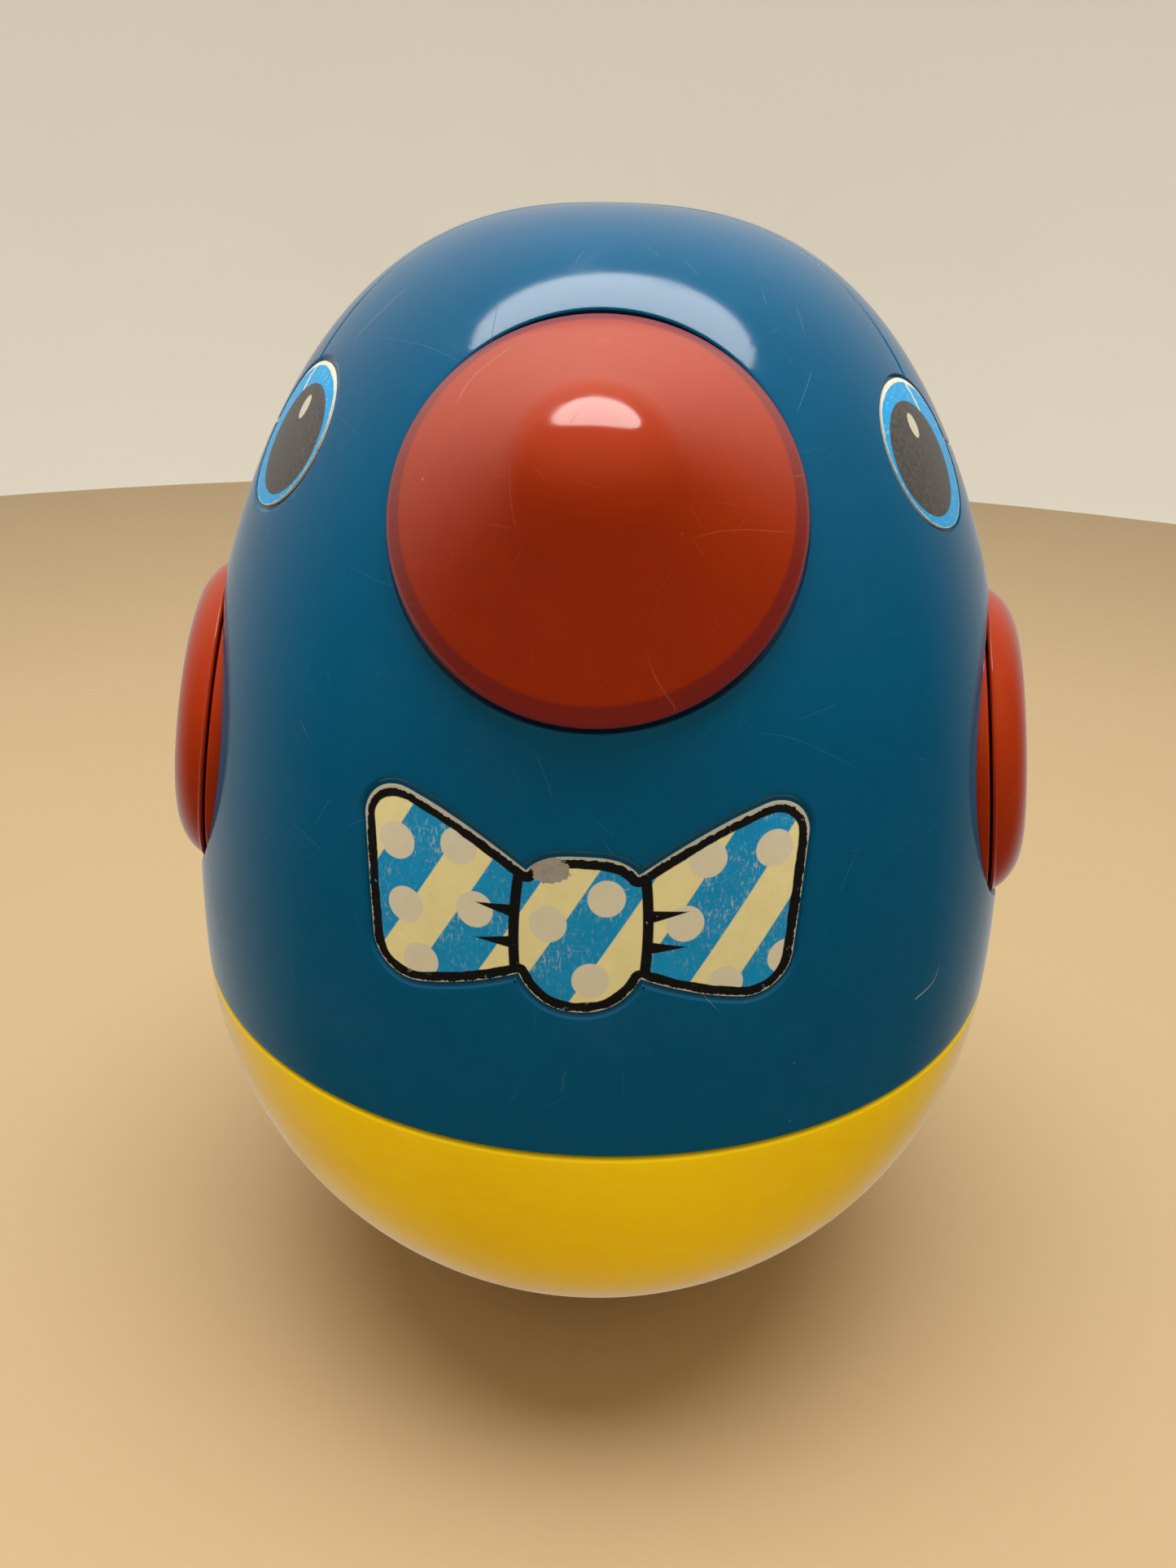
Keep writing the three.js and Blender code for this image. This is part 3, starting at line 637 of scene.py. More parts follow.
# ---------------------------------------------------------------- labels
def label(name, outline, on_surface, centre):
    """Thin printed label on the body: rings from its centre to its outline, with a skin and a back.

    Each vertex carries label_mm: its two plane coordinates and its distance from the outline.
    """
    rings = 44
    n = len(outline)
    flat = [centre]
    for k in range(1, rings + 1):
        share = (k / rings) ** 0.8
        flat += [(centre[0] + (x - centre[0]) * share, centre[1] + (z - centre[1]) * share)
                 for x, z in outline]
    plane = np.array(flat)
    edge = distance_to_outline(plane, np.array(outline))
    top = [on_surface(x, z, LABEL_SINK) for x, z in flat]
    bottom = [on_surface(x, z, LABEL_SINK + LABEL_T) for x, z in flat]
    size = len(flat)
    faces = []
    for offset, order in ((0, 1), (size, -1)):
        for i in range(n):
            j = (i + 1) % n
            faces.append((offset, offset + 1 + i, offset + 1 + j)[::order])
            for k in range(rings - 1):
                a, b = offset + 1 + k * n, offset + 1 + (k + 1) * n
                faces.append((a + i, b + i, b + j, a + j)[::order])
    last = 1 + (rings - 1) * n
    for i in range(n):
        j = (i + 1) % n
        faces.append((last + i, size + last + i, size + last + j, last + j))
    obj = face_outwards(mesh_object(name, top + bottom, faces))
    data = np.column_stack([np.vstack([plane, plane]), np.concatenate([edge, edge])])
    attribute = obj.data.attributes.new("label_mm", "FLOAT_VECTOR", "POINT")
    attribute.data.foreach_set("vector", data.astype(np.float32).ravel())
    return smooth(obj, 50)


def distance_to_outline(points, outline):
    edges = np.roll(outline, -1, axis=0) - outline
    lengths = (edges ** 2).sum(1)
    out = np.empty(len(points))
    for i, p in enumerate(points):
        t = np.clip(((p - outline) * edges).sum(1) / lengths, 0, 1)
        near = outline + edges * t[:, None]
        out[i] = np.sqrt(((p - near) ** 2).sum(1)).min()
    return out


def bow():
    return label("bow_print", bow_outline(0.0), on_bow, (0.0, BOW_Z))


def eye(word, side):
    ring = [(EYE_R * math.cos(2 * math.pi * i / 160), EYE_R * math.sin(2 * math.pi * i / 160))
            for i in range(160)]
    return label(f"{word}_eye_print", ring, lambda a, b, sink: on_eye(side, a, b, sink), (0.0, 0.0))


# ---------------------------------------------------------------- material helpers
class Graph:
    """A node material being built: a Principled shader and short ways to add nodes to it."""

    def __init__(self, name, **shader):
        self.material = bpy.data.materials.new(name)
        self.material.use_nodes = True
        self.tree = self.material.node_tree
        self.tree.nodes.clear()
        output = self.tree.nodes.new("ShaderNodeOutputMaterial")
        self.shader = self.tree.nodes.new("ShaderNodeBsdfPrincipled")
        self.tree.links.new(self.shader.outputs[0], output.inputs[0])
        for key, value in shader.items():
            self.shader.inputs[key.replace("_", " ")].default_value = value
        coords = self.tree.nodes.new("ShaderNodeTexCoord")
        self.at = coords.outputs["Object"]

    def node(self, kind, values=None, **props):
        made = self.tree.nodes.new(kind)
        for key, value in props.items():
            setattr(made, key, value)
        for key, value in (values or {}).items():
            if isinstance(value, bpy.types.NodeSocket):
                self.tree.links.new(value, made.inputs[key])
            else:
                made.inputs[key].default_value = value
        return made

    def math(self, operation, *args):
        return self.node("ShaderNodeMath", dict(enumerate(args)), operation=operation).outputs[0]

    def plus(self, a, b):
        return self.math("ADD", a, b)

    def minus(self, a, b):
        return self.math("SUBTRACT", a, b)

    def times(self, a, b):
        return self.math("MULTIPLY", a, b)

    def vector(self, operation, *args):
        made = self.node("ShaderNodeVectorMath", dict(enumerate(args)), operation=operation)
        return made.outputs["Value" if operation == "DOT_PRODUCT" else "Vector"]

    def noise(self, size_mm, detail=4.0, roughness=0.5, at=None, shift=0.0, distortion=0.0):
        """Noise with features of about size_mm; 0 to 1, mostly near 0.5."""
        place = self.vector("ADD", at or self.at, (shift, shift * 0.7, -shift))
        values = {"Vector": place, "Scale": 1000 / size_mm, "Detail": detail,
                  "Roughness": roughness, "Distortion": distortion}
        return self.node("ShaderNodeTexNoise", values).outputs["Fac"]

    def range(self, value, low, high, to_low=0.0, to_high=1.0, soft=True):
        values = {"Value": value, "From Min": low, "From Max": high, "To Min": to_low, "To Max": to_high}
        kind = "SMOOTHSTEP" if soft else "LINEAR"
        return self.node("ShaderNodeMapRange", values, interpolation_type=kind).outputs["Result"]

    def mix(self, share, a, b):
        made = self.node("ShaderNodeMix", {0: share}, data_type="RGBA")
        for index, value in ((6, a), (7, b)):
            if isinstance(value, bpy.types.NodeSocket):
                self.tree.links.new(value, made.inputs[index])
            else:
                made.inputs[index].default_value = (*value, 1.0)
        return made.outputs[2]

    def stretched(self, x, y, z):
        """The object's coordinates with each axis scaled."""
        return self.vector("MULTIPLY", self.at, (x, y, z))

    def label_mm(self):
        """The three values that every vertex of a label carries."""
        named = self.node("ShaderNodeAttribute", attribute_name="label_mm").outputs["Vector"]
        return self.node("ShaderNodeSeparateXYZ", {0: named}).outputs[:3]

    def far(self, a, b, centre, radii=(1.0, 1.0)):
        """Square of a plane point's distance from a centre, measured in radii."""
        u = self.math("DIVIDE", self.minus(a, centre[0]), radii[0])
        v = self.math("DIVIDE", self.minus(b, centre[1]), radii[1])
        return self.plus(self.times(u, u), self.times(v, v))

    def both(self, *masks):
        """The largest of several masks."""
        out = masks[0]
        for m in masks[1:]:
            out = self.math("MAXIMUM", out, m)
        return out

    def scratches(self, cell_mm, width_mm, share, shift=0.0, curl_mm=0.0):
        """Fine straight or curled scratches, one across some of the cells."""
        place = self.vector("ADD", self.at, (shift, -shift, shift * 0.4))
        if curl_mm:
            values = {"Vector": place, "Scale": 1000 / cell_mm, "Detail": 1.0}
            bend = self.node("ShaderNodeTexNoise", values).outputs["Color"]
            turn = self.vector("SUBTRACT", bend, (0.5, 0.5, 0.5))
            turn = self.vector("MULTIPLY", turn, (curl_mm * MM,) * 3)
            place = self.vector("ADD", place, turn)
        cells = self.node("ShaderNodeTexVoronoi", {"Vector": place, "Scale": 1000 / cell_mm})
        away = self.vector("SUBTRACT", place, cells.outputs["Position"])
        tilt = self.vector("SUBTRACT", cells.outputs["Color"], (0.5, 0.5, 0.5))
        off = self.math("ABSOLUTE", self.vector("DOT_PRODUCT", away, self.vector("NORMALIZE", tilt)))
        line = self.range(off, width_mm * MM * 0.35, width_mm * MM * 0.65, 1.0, 0.0)
        fade = self.range(cells.outputs["Distance"], 0.25, 0.5, 1.0, 0.0)
        chosen = self.node("ShaderNodeSeparateColor", {0: cells.outputs["Color"]}).outputs[1]
        keep = self.math("LESS_THAN", chosen, share)
        return self.times(self.times(line, fade), keep)

    def specks(self, cell_mm, radius_mm, share, shift=0.0):
        """Small round dust specks in some of the cells."""
        place = self.vector("ADD", self.at, (shift, shift * 0.3, shift))
        cells = self.node("ShaderNodeTexVoronoi", {"Vector": place, "Scale": 1000 / cell_mm})
        parts = self.node("ShaderNodeSeparateColor", {0: cells.outputs["Color"]}).outputs
        size = self.range(parts[2], 0.0, 1.0, 0.4 * radius_mm / cell_mm, radius_mm / cell_mm, False)
        spot = self.math("LESS_THAN", cells.outputs["Distance"], size)
        return self.times(spot, self.math("LESS_THAN", parts[0], share))

    def finish(self, colour, rough, height, depth_mm):
        """Links the colour, roughness and bump to the shader; returns the material."""
        bump = self.node("ShaderNodeBump", {"Strength": 1.0, "Distance": depth_mm * MM, "Height": height})
        link = self.tree.links.new
        link(colour, self.shader.inputs["Base Color"])
        link(rough, self.shader.inputs["Roughness"])
        link(bump.outputs[0], self.shader.inputs["Normal"])
        return self.material


def srgb(*levels):
    """Linear colour of display levels from 0 to 255."""
    out = []
    for level in levels:
        v = level / 255
        out.append(v / 12.92 if v <= 0.04045 else ((v + 0.055) / 1.055) ** 2.4)
    return tuple(out)


def scaled(colour, factor):
    return tuple(min(1.0, c * factor) for c in colour)


# ---------------------------------------------------------------- materials
# Painted reflection: a dark purplish band painted along the beak's foot, standing in for the teal body
# mirrored in the glossy beak.
PAINTED_FOOT_REFLECTION = srgb(112, 32, 34)
PAINTED_REFLECTION_BAND = 4.2  # height of the darker band


def gloss_plastic(name, colour, worn, shift, rough, shine, foot=None):
    """Glossy moulded plastic with handling haze, fine scratches, specks of dust and a few fibres.

    foot is the seat of a piece that gets a painted reflection along its edge: a darker purplish band
    standing in for the teal body mirrored in the glossy foot.
    """
    g = Graph(name, IOR=1.5, Specular_IOR_Level=shine)
    cloud = g.noise(34, 3, 0.5, shift=shift)
    fine = g.noise(2.4, 5, 0.6, shift=shift + 0.3)
    tone = g.mix(g.range(cloud, 0.3, 0.7), scaled(colour, 0.93), scaled(colour, 1.06))
    tone = g.mix(g.range(fine, 0.42, 0.7, 0.0, 0.16), tone, scaled(colour, 1.25))
    # Painted reflection: darker near the seat, in place of the teal body seen in the foot.
    if foot:
        below = foot.origin.dot(foot.axis) + foot.out
        height = g.vector("DOT_PRODUCT", g.at, tuple(foot.axis / MM))
        height = g.minus(height, below)
        tone = g.mix(g.range(height, PAINTED_REFLECTION_BAND, PAINTED_REFLECTION_BAND + 0.4, 0.75, 0.0), tone, PAINTED_FOOT_REFLECTION)
    long_marks = g.scratches(15, 0.07, 0.22, shift=shift + 0.1, curl_mm=3)
    short_marks = g.scratches(6.5, 0.055, 0.3, shift=shift + 0.2, curl_mm=0.6)
    hairlines = g.scratches(3.1, 0.04, 0.5, shift=shift + 0.5, curl_mm=0.5)
    marks = g.both(g.times(long_marks, 0.7), short_marks, g.times(hairlines, 0.6))
    tone = g.mix(g.times(marks, 0.16), tone, worn)
    dust = g.specks(3.4, 0.12, 0.25, shift=shift)
    fibre = g.scratches(9, 0.07, 0.05, shift=shift + 0.8, curl_mm=4.5)
    grains = g.both(dust, fibre)
    tone = g.mix(g.times(grains, 0.4), tone, srgb(196, 190, 178))
    haze = g.range(g.noise(11, 4, 0.6, shift=shift + 0.7), 0.5, 0.72, 0.0, 0.10)
    gloss = g.plus(g.plus(haze, rough), g.times(marks, 0.25))
    gloss = g.plus(gloss, g.times(grains, 0.5))
    waves = g.noise(7, 2, 0.4, shift=shift + 0.9)
    relief = g.plus(waves, g.times(grains, 1.2))
    relief = g.minus(relief, g.times(marks, 0.5))
    return g.finish(tone, gloss, relief, 0.012)


BLUE_BOW = srgb(0, 136, 194)
BLUE_EYE = srgb(8, 152, 216)
CREAM = srgb(226, 216, 160)
PALE_CREAM = srgb(212, 206, 184)
PAPER_EDGE = srgb(188, 182, 164)
INK = srgb(20, 19, 19)
PUPIL = srgb(74, 71, 67)

STRIPE_TURN = 58.5  # degrees above level, rising to the right
STRIPE_PERIOD = 8.2
STRIPE_WIDTH = 3.7
STRIPE_AT = -1.2
OUTLINE_T = 0.9  # reach of the ink from the label's edge
KNOT_LINE_X = 5.95
KNOT_LINE_BOW = 0.45
KNOT_LINE_T = 0.84
CREASE_X = 5.9
CREASE_LENGTH = 3.6
CREASE_T = 1.24
CREASES = ((75.5, 0.12), (72.6, 0.0))  # height and slope
WORN_AT = (-2.9, 79.6)
WORN_R = (1.8, 1.25)
DOT_R = 1.68
DOTS = [  # centres of the printed dots: left wing, knot, right wing
    (-16.8, 80.2), (-11.0, 80.8), (-16.0, 74.4), (-9.5, 75.2), (-14.6, 69.3),
    (-2.9, 74.6), (2.2, 77.2), (1.0, 69.4),
    (10.9, 80.6), (9.2, 74.8), (16.8, 81.0), (13.1, 68.7), (18.6, 70.6),
]


def torn_edge(g, edge, top, least, most):
    """Mask of the bare paper round a label, least to most wide and wider by top."""
    ragged = g.range(g.noise(0.9, 5, 0.75, shift=2.1), 0.35, 0.75, least, most, False)
    return g.math("LESS_THAN", edge, g.plus(ragged, top))


def printed_dots(g, x, z):
    """Mask of the round dots."""
    nearest = None
    for dot in DOTS:
        far = g.far(x, z, dot)
        nearest = far if nearest is None else g.math("MINIMUM", nearest, far)
    return g.range(g.math("SQRT", nearest), DOT_R - 0.06, DOT_R + 0.06, 1.0, 0.0)


def bow_print():
    """Printed bow: blue with cream stripes and dots, inked outline, creases and a worn paper edge."""
    g = Graph("bow_print", IOR=1.48, Specular_IOR_Level=0.25)
    x, z, edge = g.label_mm()
    turn = math.radians(STRIPE_TURN)
    over = g.minus(g.times(x, math.sin(turn)), g.times(z, math.cos(turn)))
    over = g.math("WRAP", g.minus(over, STRIPE_AT), STRIPE_PERIOD / 2, -STRIPE_PERIOD / 2)
    half = STRIPE_WIDTH / 2
    stripe = g.range(g.math("ABSOLUTE", over), half - 0.07, half + 0.07, 1.0, 0.0)
    # Fine fibres of the paper, upright and level, show through the ink.
    upright = g.range(g.noise(0.26, 4, 0.7, at=g.stretched(1.0, 1.0, 0.25)), 0.54, 0.66)
    level = g.range(g.noise(0.26, 4, 0.7, at=g.stretched(0.3, 1.0, 1.0)), 0.57, 0.69)
    fibres = g.both(upright, g.times(level, 0.7))
    wear = g.range(g.noise(4, 4, 0.7, shift=0.4), 0.4, 0.68)
    blue = g.mix(g.noise(3, 3, 0.6, shift=0.2), scaled(BLUE_BOW, 0.84), scaled(BLUE_BOW, 1.16))
    bare = g.times(fibres, g.plus(0.08, g.times(wear, 0.5)))
    blue = g.mix(bare, blue, PALE_CREAM)
    cream = g.mix(g.noise(2.2, 4, 0.6, shift=0.6), scaled(CREAM, 0.86), scaled(CREAM, 1.06))
    cream = g.mix(g.times(fibres, 0.2), cream, PALE_CREAM)
    picture = g.mix(stripe, blue, cream)
    pale = g.mix(g.noise(1.6, 4, 0.6, shift=0.9), scaled(PALE_CREAM, 0.88), PALE_CREAM)
    picture = g.mix(printed_dots(g, x, z), picture, pale)
    wobble = g.range(g.noise(1.6, 2, 0.5, shift=1.2), 0.3, 0.7, -0.06, 0.06, False)
    outline = g.range(g.plus(edge, wobble), OUTLINE_T, OUTLINE_T + 0.12, 1.0, 0.0)
    folds = [crease(g, x, z, height, slope) for height, slope in CREASES]
    ink = g.both(outline, knot_line(g, x, z), *folds)
    chipped = g.range(g.noise(0.7, 4, 0.7, shift=1.7), 0.64, 0.72, 1.0, 0.25)
    picture = g.mix(g.times(ink, chipped), picture, INK)
    # The cream paper shows round the outside, more along the worn top.
    top = g.range(z, 78.0, 85.0, 0.0, 0.2)
    rim = torn_edge(g, edge, top, -0.04, 0.26)
    paper = g.mix(g.noise(0.7, 4, 0.7), scaled(PAPER_EDGE, 0.75), PAPER_EDGE)
    picture = g.mix(rim, picture, paper)
    chip = worn_patch(g, x, z)
    rubbed = g.mix(g.noise(0.6, 4, 0.7, shift=0.5), srgb(120, 116, 108), srgb(168, 164, 152))
    picture = g.mix(chip, picture, rubbed)
    rough = g.plus(g.times(g.both(rim, chip), 0.35), g.range(wear, 0, 1, 0.3, 0.42))
    relief = g.minus(g.times(fibres, 0.3), chip)
    return g.finish(picture, rough, relief, 0.03)


def knot_line(g, x, z):
    """Ink line down each side of the knot, bowed outwards."""
    level = g.math("DIVIDE", g.minus(z, BOW_Z), 6.0)
    bowed = g.times(g.times(level, level), KNOT_LINE_BOW)
    side = g.minus(KNOT_LINE_X, bowed)
    off = g.math("ABSOLUTE", g.minus(g.math("ABSOLUTE", x), side))
    return g.range(off, KNOT_LINE_T / 2, KNOT_LINE_T / 2 + 0.12, 1.0, 0.0)


def crease(g, x, z, height, slope):
    """Pointed fold line that runs out from the knot on both sides."""
    along = g.math("DIVIDE", g.minus(g.math("ABSOLUTE", x), CREASE_X), CREASE_LENGTH)
    half = g.times(g.minus(1.0, along), CREASE_T / 2)
    level = g.plus(g.times(along, slope * CREASE_LENGTH), height)
    off = g.math("ABSOLUTE", g.minus(z, level))
    inside = g.range(g.minus(off, half), -0.05, 0.05, 1.0, 0.0)
    begun = g.math("GREATER_THAN", along, 0.0)
    return g.times(inside, begun)


def worn_patch(g, x, z):
    """Rubbed grey patch at the top of the knot."""
    ragged = g.range(g.noise(1.2, 4, 0.7, shift=3.0), 0.3, 0.7, -0.45, 0.45, False)
    return g.range(g.plus(g.far(x, z, WORN_AT, WORN_R), ragged), 0.85, 1.0, 1.0, 0.0)


PUPIL_R = 5.8
PUPIL_AT = (1.3, -0.5)
GLINT_AT = (1.0, 2.75)
GLINT_R = (0.85, 1.25)
CRACK_AT = -2.3
CRACK_T = 0.34


def eye_print():
    """Printed eye: blue ring, speckled dark pupil, pale spot and a worn paper edge."""
    g = Graph("eye_print", IOR=1.48)
    a, b, edge = g.label_mm()
    blue = g.mix(g.noise(2, 4, 0.6, shift=0.3), scaled(BLUE_EYE, 0.85), scaled(BLUE_EYE, 1.15))
    fibres = g.range(g.noise(0.4, 4, 0.65, shift=0.7), 0.56, 0.72, 0.0, 0.5)
    blue = g.mix(fibres, blue, CREAM)
    far = g.math("SQRT", g.far(a, b, PUPIL_AT))
    pupil = g.range(far, PUPIL_R - 0.08, PUPIL_R + 0.08, 1.0, 0.0)
    speckle = g.range(g.noise(0.45, 4, 0.75, shift=0.1), 0.35, 0.7)
    dark = g.mix(speckle, scaled(PUPIL, 0.62), scaled(PUPIL, 1.3))
    picture = g.mix(pupil, blue, dark)
    glint = g.range(g.far(a, b, GLINT_AT, GLINT_R), 0.85, 1.15, 1.0, 0.0)
    picture = g.mix(glint, picture, srgb(196, 186, 168))
    # A crack in the ink runs from the top edge to the pupil.
    bend = g.range(g.noise(2.2, 2, 0.5, shift=1.9), 0.3, 0.7, -0.3, 0.3, False)
    slit = g.math("ABSOLUTE", g.plus(g.minus(a, CRACK_AT), bend))
    beyond = g.times(g.math("GREATER_THAN", far, PUPIL_R), g.math("GREATER_THAN", b, 2.0))
    crack = g.times(g.range(slit, CRACK_T / 2, CRACK_T / 2 + 0.08, 1.0, 0.0), beyond)
    top = g.range(b, 5.0, 7.3, 0.0, 0.4)
    rim = torn_edge(g, edge, top, 0.0, 0.14)
    worn = g.both(rim, crack)
    paper = g.mix(g.noise(0.7, 4, 0.7), srgb(206, 198, 174), srgb(232, 226, 206))
    picture = g.mix(worn, picture, paper)
    rough = g.plus(g.times(worn, 0.35), g.range(speckle, 0, 1, 0.32, 0.45))
    relief = g.minus(g.times(speckle, 0.3), crack)
    return g.finish(picture, rough, relief, 0.02)


def metal(name, colour, rough, shift, turned=False):
    """Plated or turned metal with fine tool lines, stains and small scratches."""
    g = Graph(name, Metallic=1.0)
    lines_at = g.stretched(*((1.0, 1.0, 9.0) if turned else (5.0, 5.0, 1.0)))
    lines = g.noise(1.6, 4, 0.6, at=lines_at, shift=shift)
    stain = g.range(g.noise(9, 4, 0.6, shift=shift + 0.4), 0.45, 0.7)
    tone = g.mix(lines, scaled(colour, 0.86), scaled(colour, 1.1))
    tone = g.mix(g.times(stain, 0.3), tone, scaled(colour, 0.6))
    marks = g.scratches(4, 0.06, 0.5, shift=shift + 0.2)
    gloss = g.plus(g.range(lines, 0.3, 0.7, rough, rough + 0.12), g.times(stain, 0.12))
    relief = g.minus(lines, marks)
    return g.finish(tone, gloss, relief, 0.02)


def cast_iron():
    g = Graph("cast_iron", Metallic=0.7)
    grain = g.noise(0.9, 6, 0.7)
    rust = g.range(g.noise(7, 5, 0.7, shift=0.5), 0.55, 0.72)
    tone = g.mix(grain, (0.05, 0.05, 0.053), (0.14, 0.14, 0.145))
    tone = g.mix(g.times(rust, 0.7), tone, (0.16, 0.07, 0.03))
    rough = g.plus(g.range(grain, 0.3, 0.7, 0.5, 0.7), g.times(rust, 0.2))
    return g.finish(tone, rough, grain, 0.15)


def matte_moulding():
    g = Graph("matte_moulding", IOR=1.46)
    cloud = g.noise(16, 4, 0.6)
    grain = g.noise(0.5, 4, 0.6, shift=0.3)
    tone = g.mix(cloud, srgb(214, 208, 192), srgb(232, 228, 216))
    marks = g.scratches(6, 0.08, 0.4)
    tone = g.mix(g.times(marks, 0.4), tone, srgb(180, 174, 160))
    rough = g.range(grain, 0.3, 0.7, 0.42, 0.6)
    return g.finish(tone, rough, g.minus(grain, marks), 0.03)


def beech():
    """Bare turned wood: short flecks and growth lines along Z."""
    g = Graph("beech", IOR=1.45)
    long_at = g.stretched(1.0, 1.0, 0.14)
    growth = g.noise(2.6, 3, 0.6, at=long_at, distortion=0.6)
    fleck = g.range(g.noise(0.5, 4, 0.6, at=g.stretched(1.0, 1.0, 0.3)), 0.58, 0.7)
    tone = g.mix(growth, srgb(176, 128, 82), srgb(216, 174, 124))
    tone = g.mix(g.times(fleck, 0.5), tone, srgb(140, 92, 54))
    rough = g.range(growth, 0.3, 0.7, 0.5, 0.66)
    return g.finish(tone, rough, g.minus(growth, fleck), 0.05)


def pale_stage(name, colour, glow):
    """Pale, slightly uneven matt finish of the floor and the backdrop."""
    g = Graph(name, IOR=1.4, Emission_Strength=glow)
    g.shader.inputs["Emission Color"].default_value = (*srgb(224, 222, 214), 1.0)
    cloud = g.noise(220, 4, 0.5)
    grain = g.noise(3, 4, 0.6, shift=0.3)
    tone = g.mix(cloud, scaled(colour, 0.94), scaled(colour, 1.05))
    return g.finish(tone, g.range(grain, 0.3, 0.7, 0.6, 0.7), grain, 0.05)


# ---------------------------------------------------------------- pieces
def set_material(obj, material):
    obj.data.materials.clear()
    obj.data.materials.append(material)


def piece(obj, body, node, material):
    """Puts a finished mesh in place of a CAD node."""
    set_material(obj, material)
    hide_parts(node)
    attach(obj, body)


ORANGE = srgb(158, 46, 3)
ORANGE_WORN = srgb(222, 140, 104)

yellow = gloss_plastic("yellow_plastic", srgb(252, 211, 2), srgb(250, 226, 130), 0.0, 0.16, 0.3)
teal = gloss_plastic("teal_plastic", srgb(0, 80, 118), srgb(70, 140, 164), 1.0, 0.1, 0.34)
orange = gloss_plastic("orange_plastic", ORANGE, ORANGE_WORN, 2.0, 0.12, 0.4)
# The beak's material carries the painted reflection band along its foot.
beak_orange = gloss_plastic("beak_plastic", ORANGE, ORANGE_WORN, 2.0, 0.1, 0.5, beak_seat)
bow_paper = bow_print()
eye_paper = eye_print()

piece(bowl(), "toy", "base_bowl", yellow)
front_body, rear_body = shells()
piece(front_body, "toy", "front_shell", teal)
piece(rear_body, "toy", "rear_shell", teal)
piece(beak(), "toy", "beak", beak_orange)
piece(bow(), "toy", "bow_label", bow_paper)
for word, side in (("left", 1), ("right", -1)):
    seat = flipper_seats[word]
    spinning = f"{word}_flipper_disc"
    piece(flipper_disc(word, seat), spinning, f"{word}_flipper", orange)
    piece(flipper_back(word, seat), spinning, f"{word}_flipper_back", orange)
    piece(eye(word, side), "toy", f"{word}_eye_label", eye_paper)

# The hidden pieces keep their CAD meshes, with small bevels and finished materials.
plated = metal("plated_steel", (0.62, 0.63, 0.64), 0.24, 3.0)
turned = metal("turned_aluminium", (0.66, 0.67, 0.68), 0.28, 4.0, turned=True)
white = matte_moulding()
HIDDEN_BEVEL = 0.15
inner_finish = {
    "ballast_weight": cast_iron(),
    "chime_block": turned,
    "chime_base": white,
    "striker_frame": white,
    "striker_ball": beech(),
}
for name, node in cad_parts.items():
    if node.hide_render:
        continue
    set_material(node, inner_finish.get(name, plated))
    bevel = node.modifiers.new("edges", "BEVEL")
    bevel.width = HIDDEN_BEVEL * MM
    bevel.segments = 2
    bevel.limit_method = "ANGLE"
    bevel.angle_limit = math.radians(50)
    node.data.shade_smooth()
    node.data.set_sharp_from_angle(angle=math.radians(40))


# ---------------------------------------------------------------- floor, light and camera
FLOOR_R = 600.0
BACKDROP_R = 900.0
BACKDROP_H = 1500.0
LAMP_AT = (0, -30, 680)
LAMP_AIM = (0, -10, 60)
LAMP_SIZE = (760, 360)
LAMP_POWER = 6.2  # watts
CAMERA_AT = (0.0, -132.91, 127.93)
CAMERA_TURN = 1.6  # degrees about +Z, after the axes below
CAMERA_RIGHT = (0.999464, 0.022888, 0.023402)
CAMERA_UP = (-0.030877, 0.421820, 0.906154)
CAMERA_BACK = (0.010868, -0.906391, 0.422300)


def stage_surface(name, points, material):
    """Open surface of revolution about +Z for the floor or the backdrop."""
    bm = bmesh.new()
    segments = 96
    rings = []
    for r, z in points:
        count = segments if r else 1
        ring = []
        for i in range(count):
            a = 2 * math.pi * i / segments
            ring.append(bm.verts.new((r * math.cos(a) * MM, r * math.sin(a) * MM, z * MM)))
        rings.append(ring)
    for low, high in zip(rings, rings[1:]):
        for i in range(segments):
            j = (i + 1) % segments
            corners = [low[0], high[i], high[j]] if len(low) == 1 else [low[i], high[i], high[j], low[j]]
            bm.faces.new(corners)
    mesh = bpy.data.meshes.new(name)
    bm.to_mesh(mesh)
    bm.free()
    obj = in_scene(name, mesh)
    mesh.shade_smooth()
    set_material(obj, material)
    return obj


def floor():
    """Round pale floor that curves up into a plain backdrop far behind the toy."""
    bend = BACKDROP_R - FLOOR_R
    curve = arc(FLOOR_R, bend, bend, -90, 0, 16) + [(BACKDROP_R, BACKDROP_H)]
    flat = [(0, 0.0), (60, 0.0), (200, 0.0), (FLOOR_R, 0.0)]
    ground = stage_surface("floor", flat, pale_stage("pale_floor", srgb(180, 156, 118), 0.0))
    backdrop = stage_surface("backdrop", curve, pale_stage("pale_backdrop", srgb(190, 182, 166), 0.3))
    # The world light stands for the room in reflections, so both stay out of them.
    ground.visible_glossy = False
    backdrop.visible_glossy = False


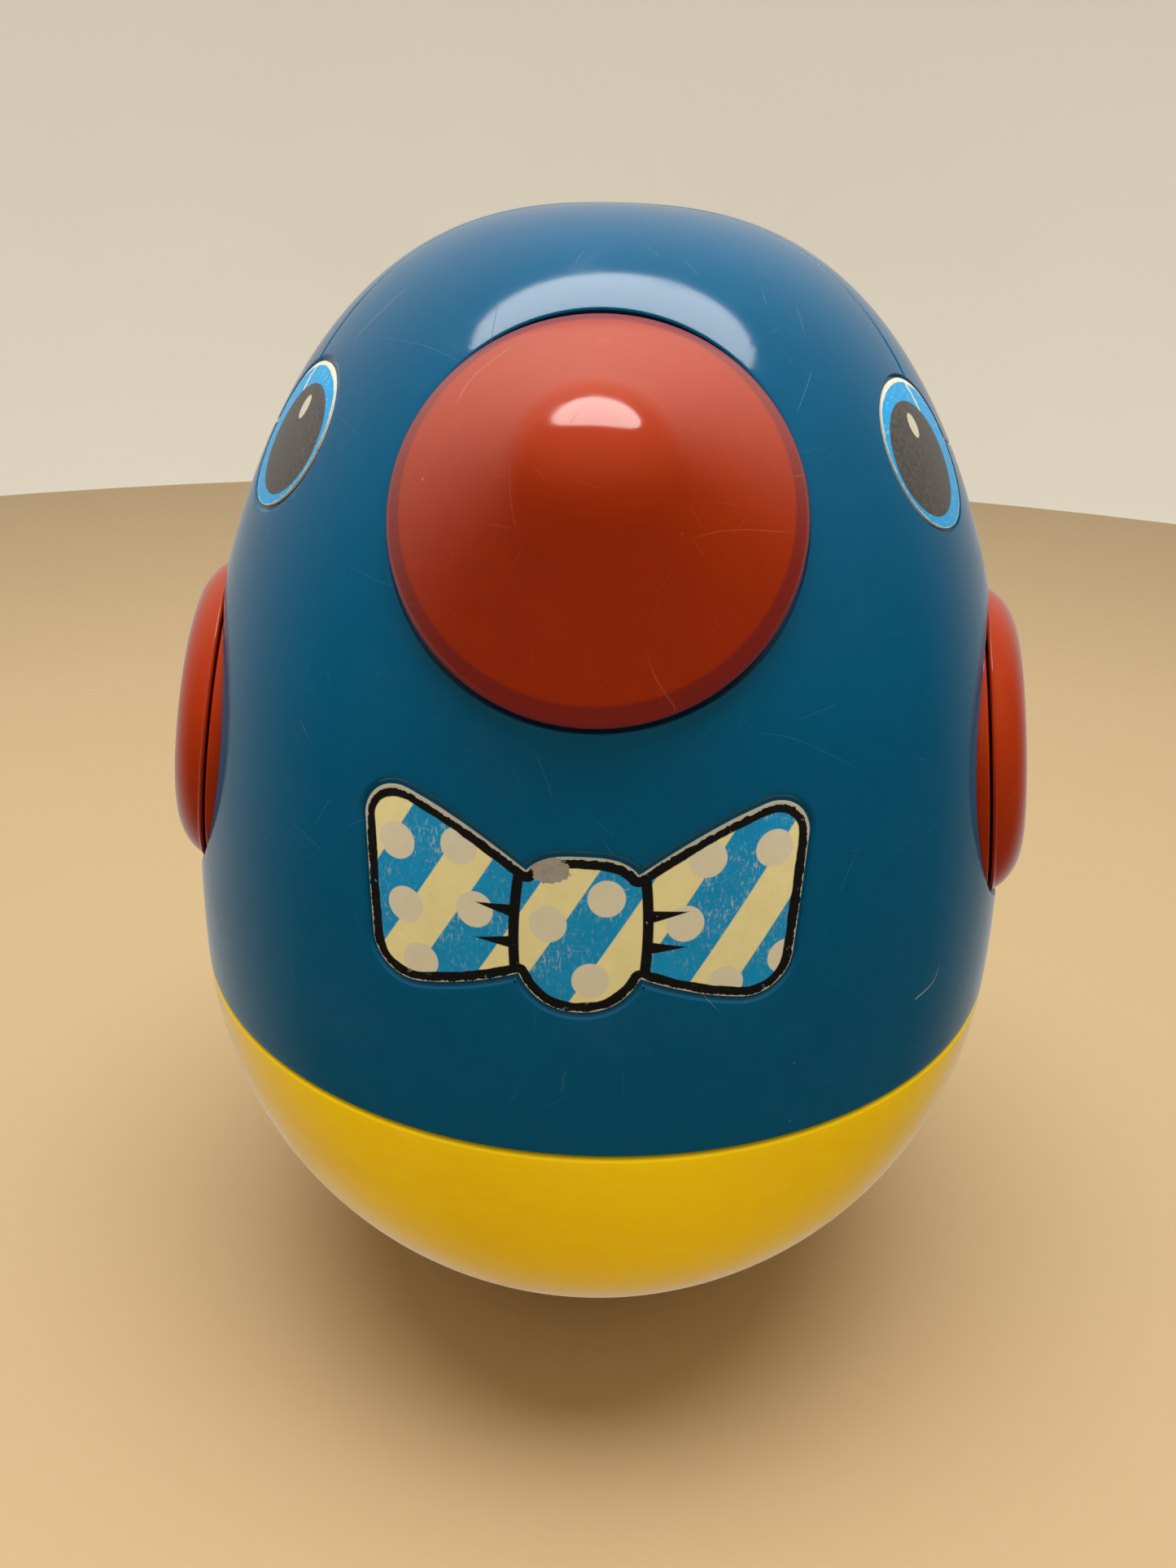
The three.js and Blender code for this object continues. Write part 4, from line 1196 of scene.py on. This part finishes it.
def window_light():
    """Soft oval light high over the toy."""
    lamp = bpy.data.lights.new("window", "AREA")
    lamp.shape = "ELLIPSE"
    lamp.size, lamp.size_y = (length * MM for length in LAMP_SIZE)
    lamp.energy = LAMP_POWER
    lamp.color = (1.0, 0.99, 0.97)
    obj = in_scene("window", lamp)
    obj.location = Vector(LAMP_AT) * MM
    obj.rotation_mode = "QUATERNION"
    obj.rotation_quaternion = (Vector(LAMP_AT) - Vector(LAMP_AIM)).to_track_quat("Z", "Y")


def world_light():
    """Soft room light: pale above and on the backdrop's side, dim on the camera's side."""
    world = bpy.data.worlds.new("soft_room")
    bpy.context.scene.world = world
    world.use_nodes = True
    tree = world.node_tree
    link = tree.links.new
    back = tree.nodes["Background"]
    coords = tree.nodes.new("ShaderNodeTexCoord")
    parts = tree.nodes.new("ShaderNodeSeparateXYZ")
    link(coords.outputs["Generated"], parts.inputs[0])
    # The room is a little brighter towards -X.
    lean = tree.nodes.new("ShaderNodeMath")
    lean.operation = "MULTIPLY_ADD"
    lean.inputs[1].default_value = -0.2
    link(parts.outputs["X"], lean.inputs[0])
    link(parts.outputs["Y"], lean.inputs[2])
    total = tree.nodes.new("ShaderNodeMath")
    # Each ramp: its input, the input's two ends and the strength at each end.
    ramps = (
        (lean.outputs[0], -0.1, 0.75, 0.06, 0.5),
        (parts.outputs["Z"], 0.0, 1.0, 0.0, 0.4),
    )
    for slot, (source, *values) in enumerate(ramps):
        ramp = tree.nodes.new("ShaderNodeMapRange")
        ramp.interpolation_type = "SMOOTHSTEP"
        for index, value in enumerate(values, 1):
            ramp.inputs[index].default_value = value
        link(source, ramp.inputs[0])
        link(ramp.outputs[0], total.inputs[slot])
    link(total.outputs[0], back.inputs[1])
    back.inputs[0].default_value = (1.0, 0.96, 0.88, 1.0)


def camera():
    """Close view from above, as a phone is held over the toy."""
    data = bpy.data.cameras.new("camera")
    data.sensor_width = 36.0
    data.lens = 25.99
    data.clip_start = 0.005
    data.clip_end = 20.0
    obj = in_scene("camera", data)
    facing = Matrix((CAMERA_RIGHT, CAMERA_UP, CAMERA_BACK)).transposed().to_4x4()
    turn = Matrix.Rotation(math.radians(CAMERA_TURN), 4, "Z")
    obj.matrix_world = turn @ Matrix.Translation(Vector(CAMERA_AT) * MM) @ facing
    bpy.context.scene.camera = obj


floor()
world_light()
window_light()
camera()
bpy.context.scene.view_settings.view_transform = "Standard"
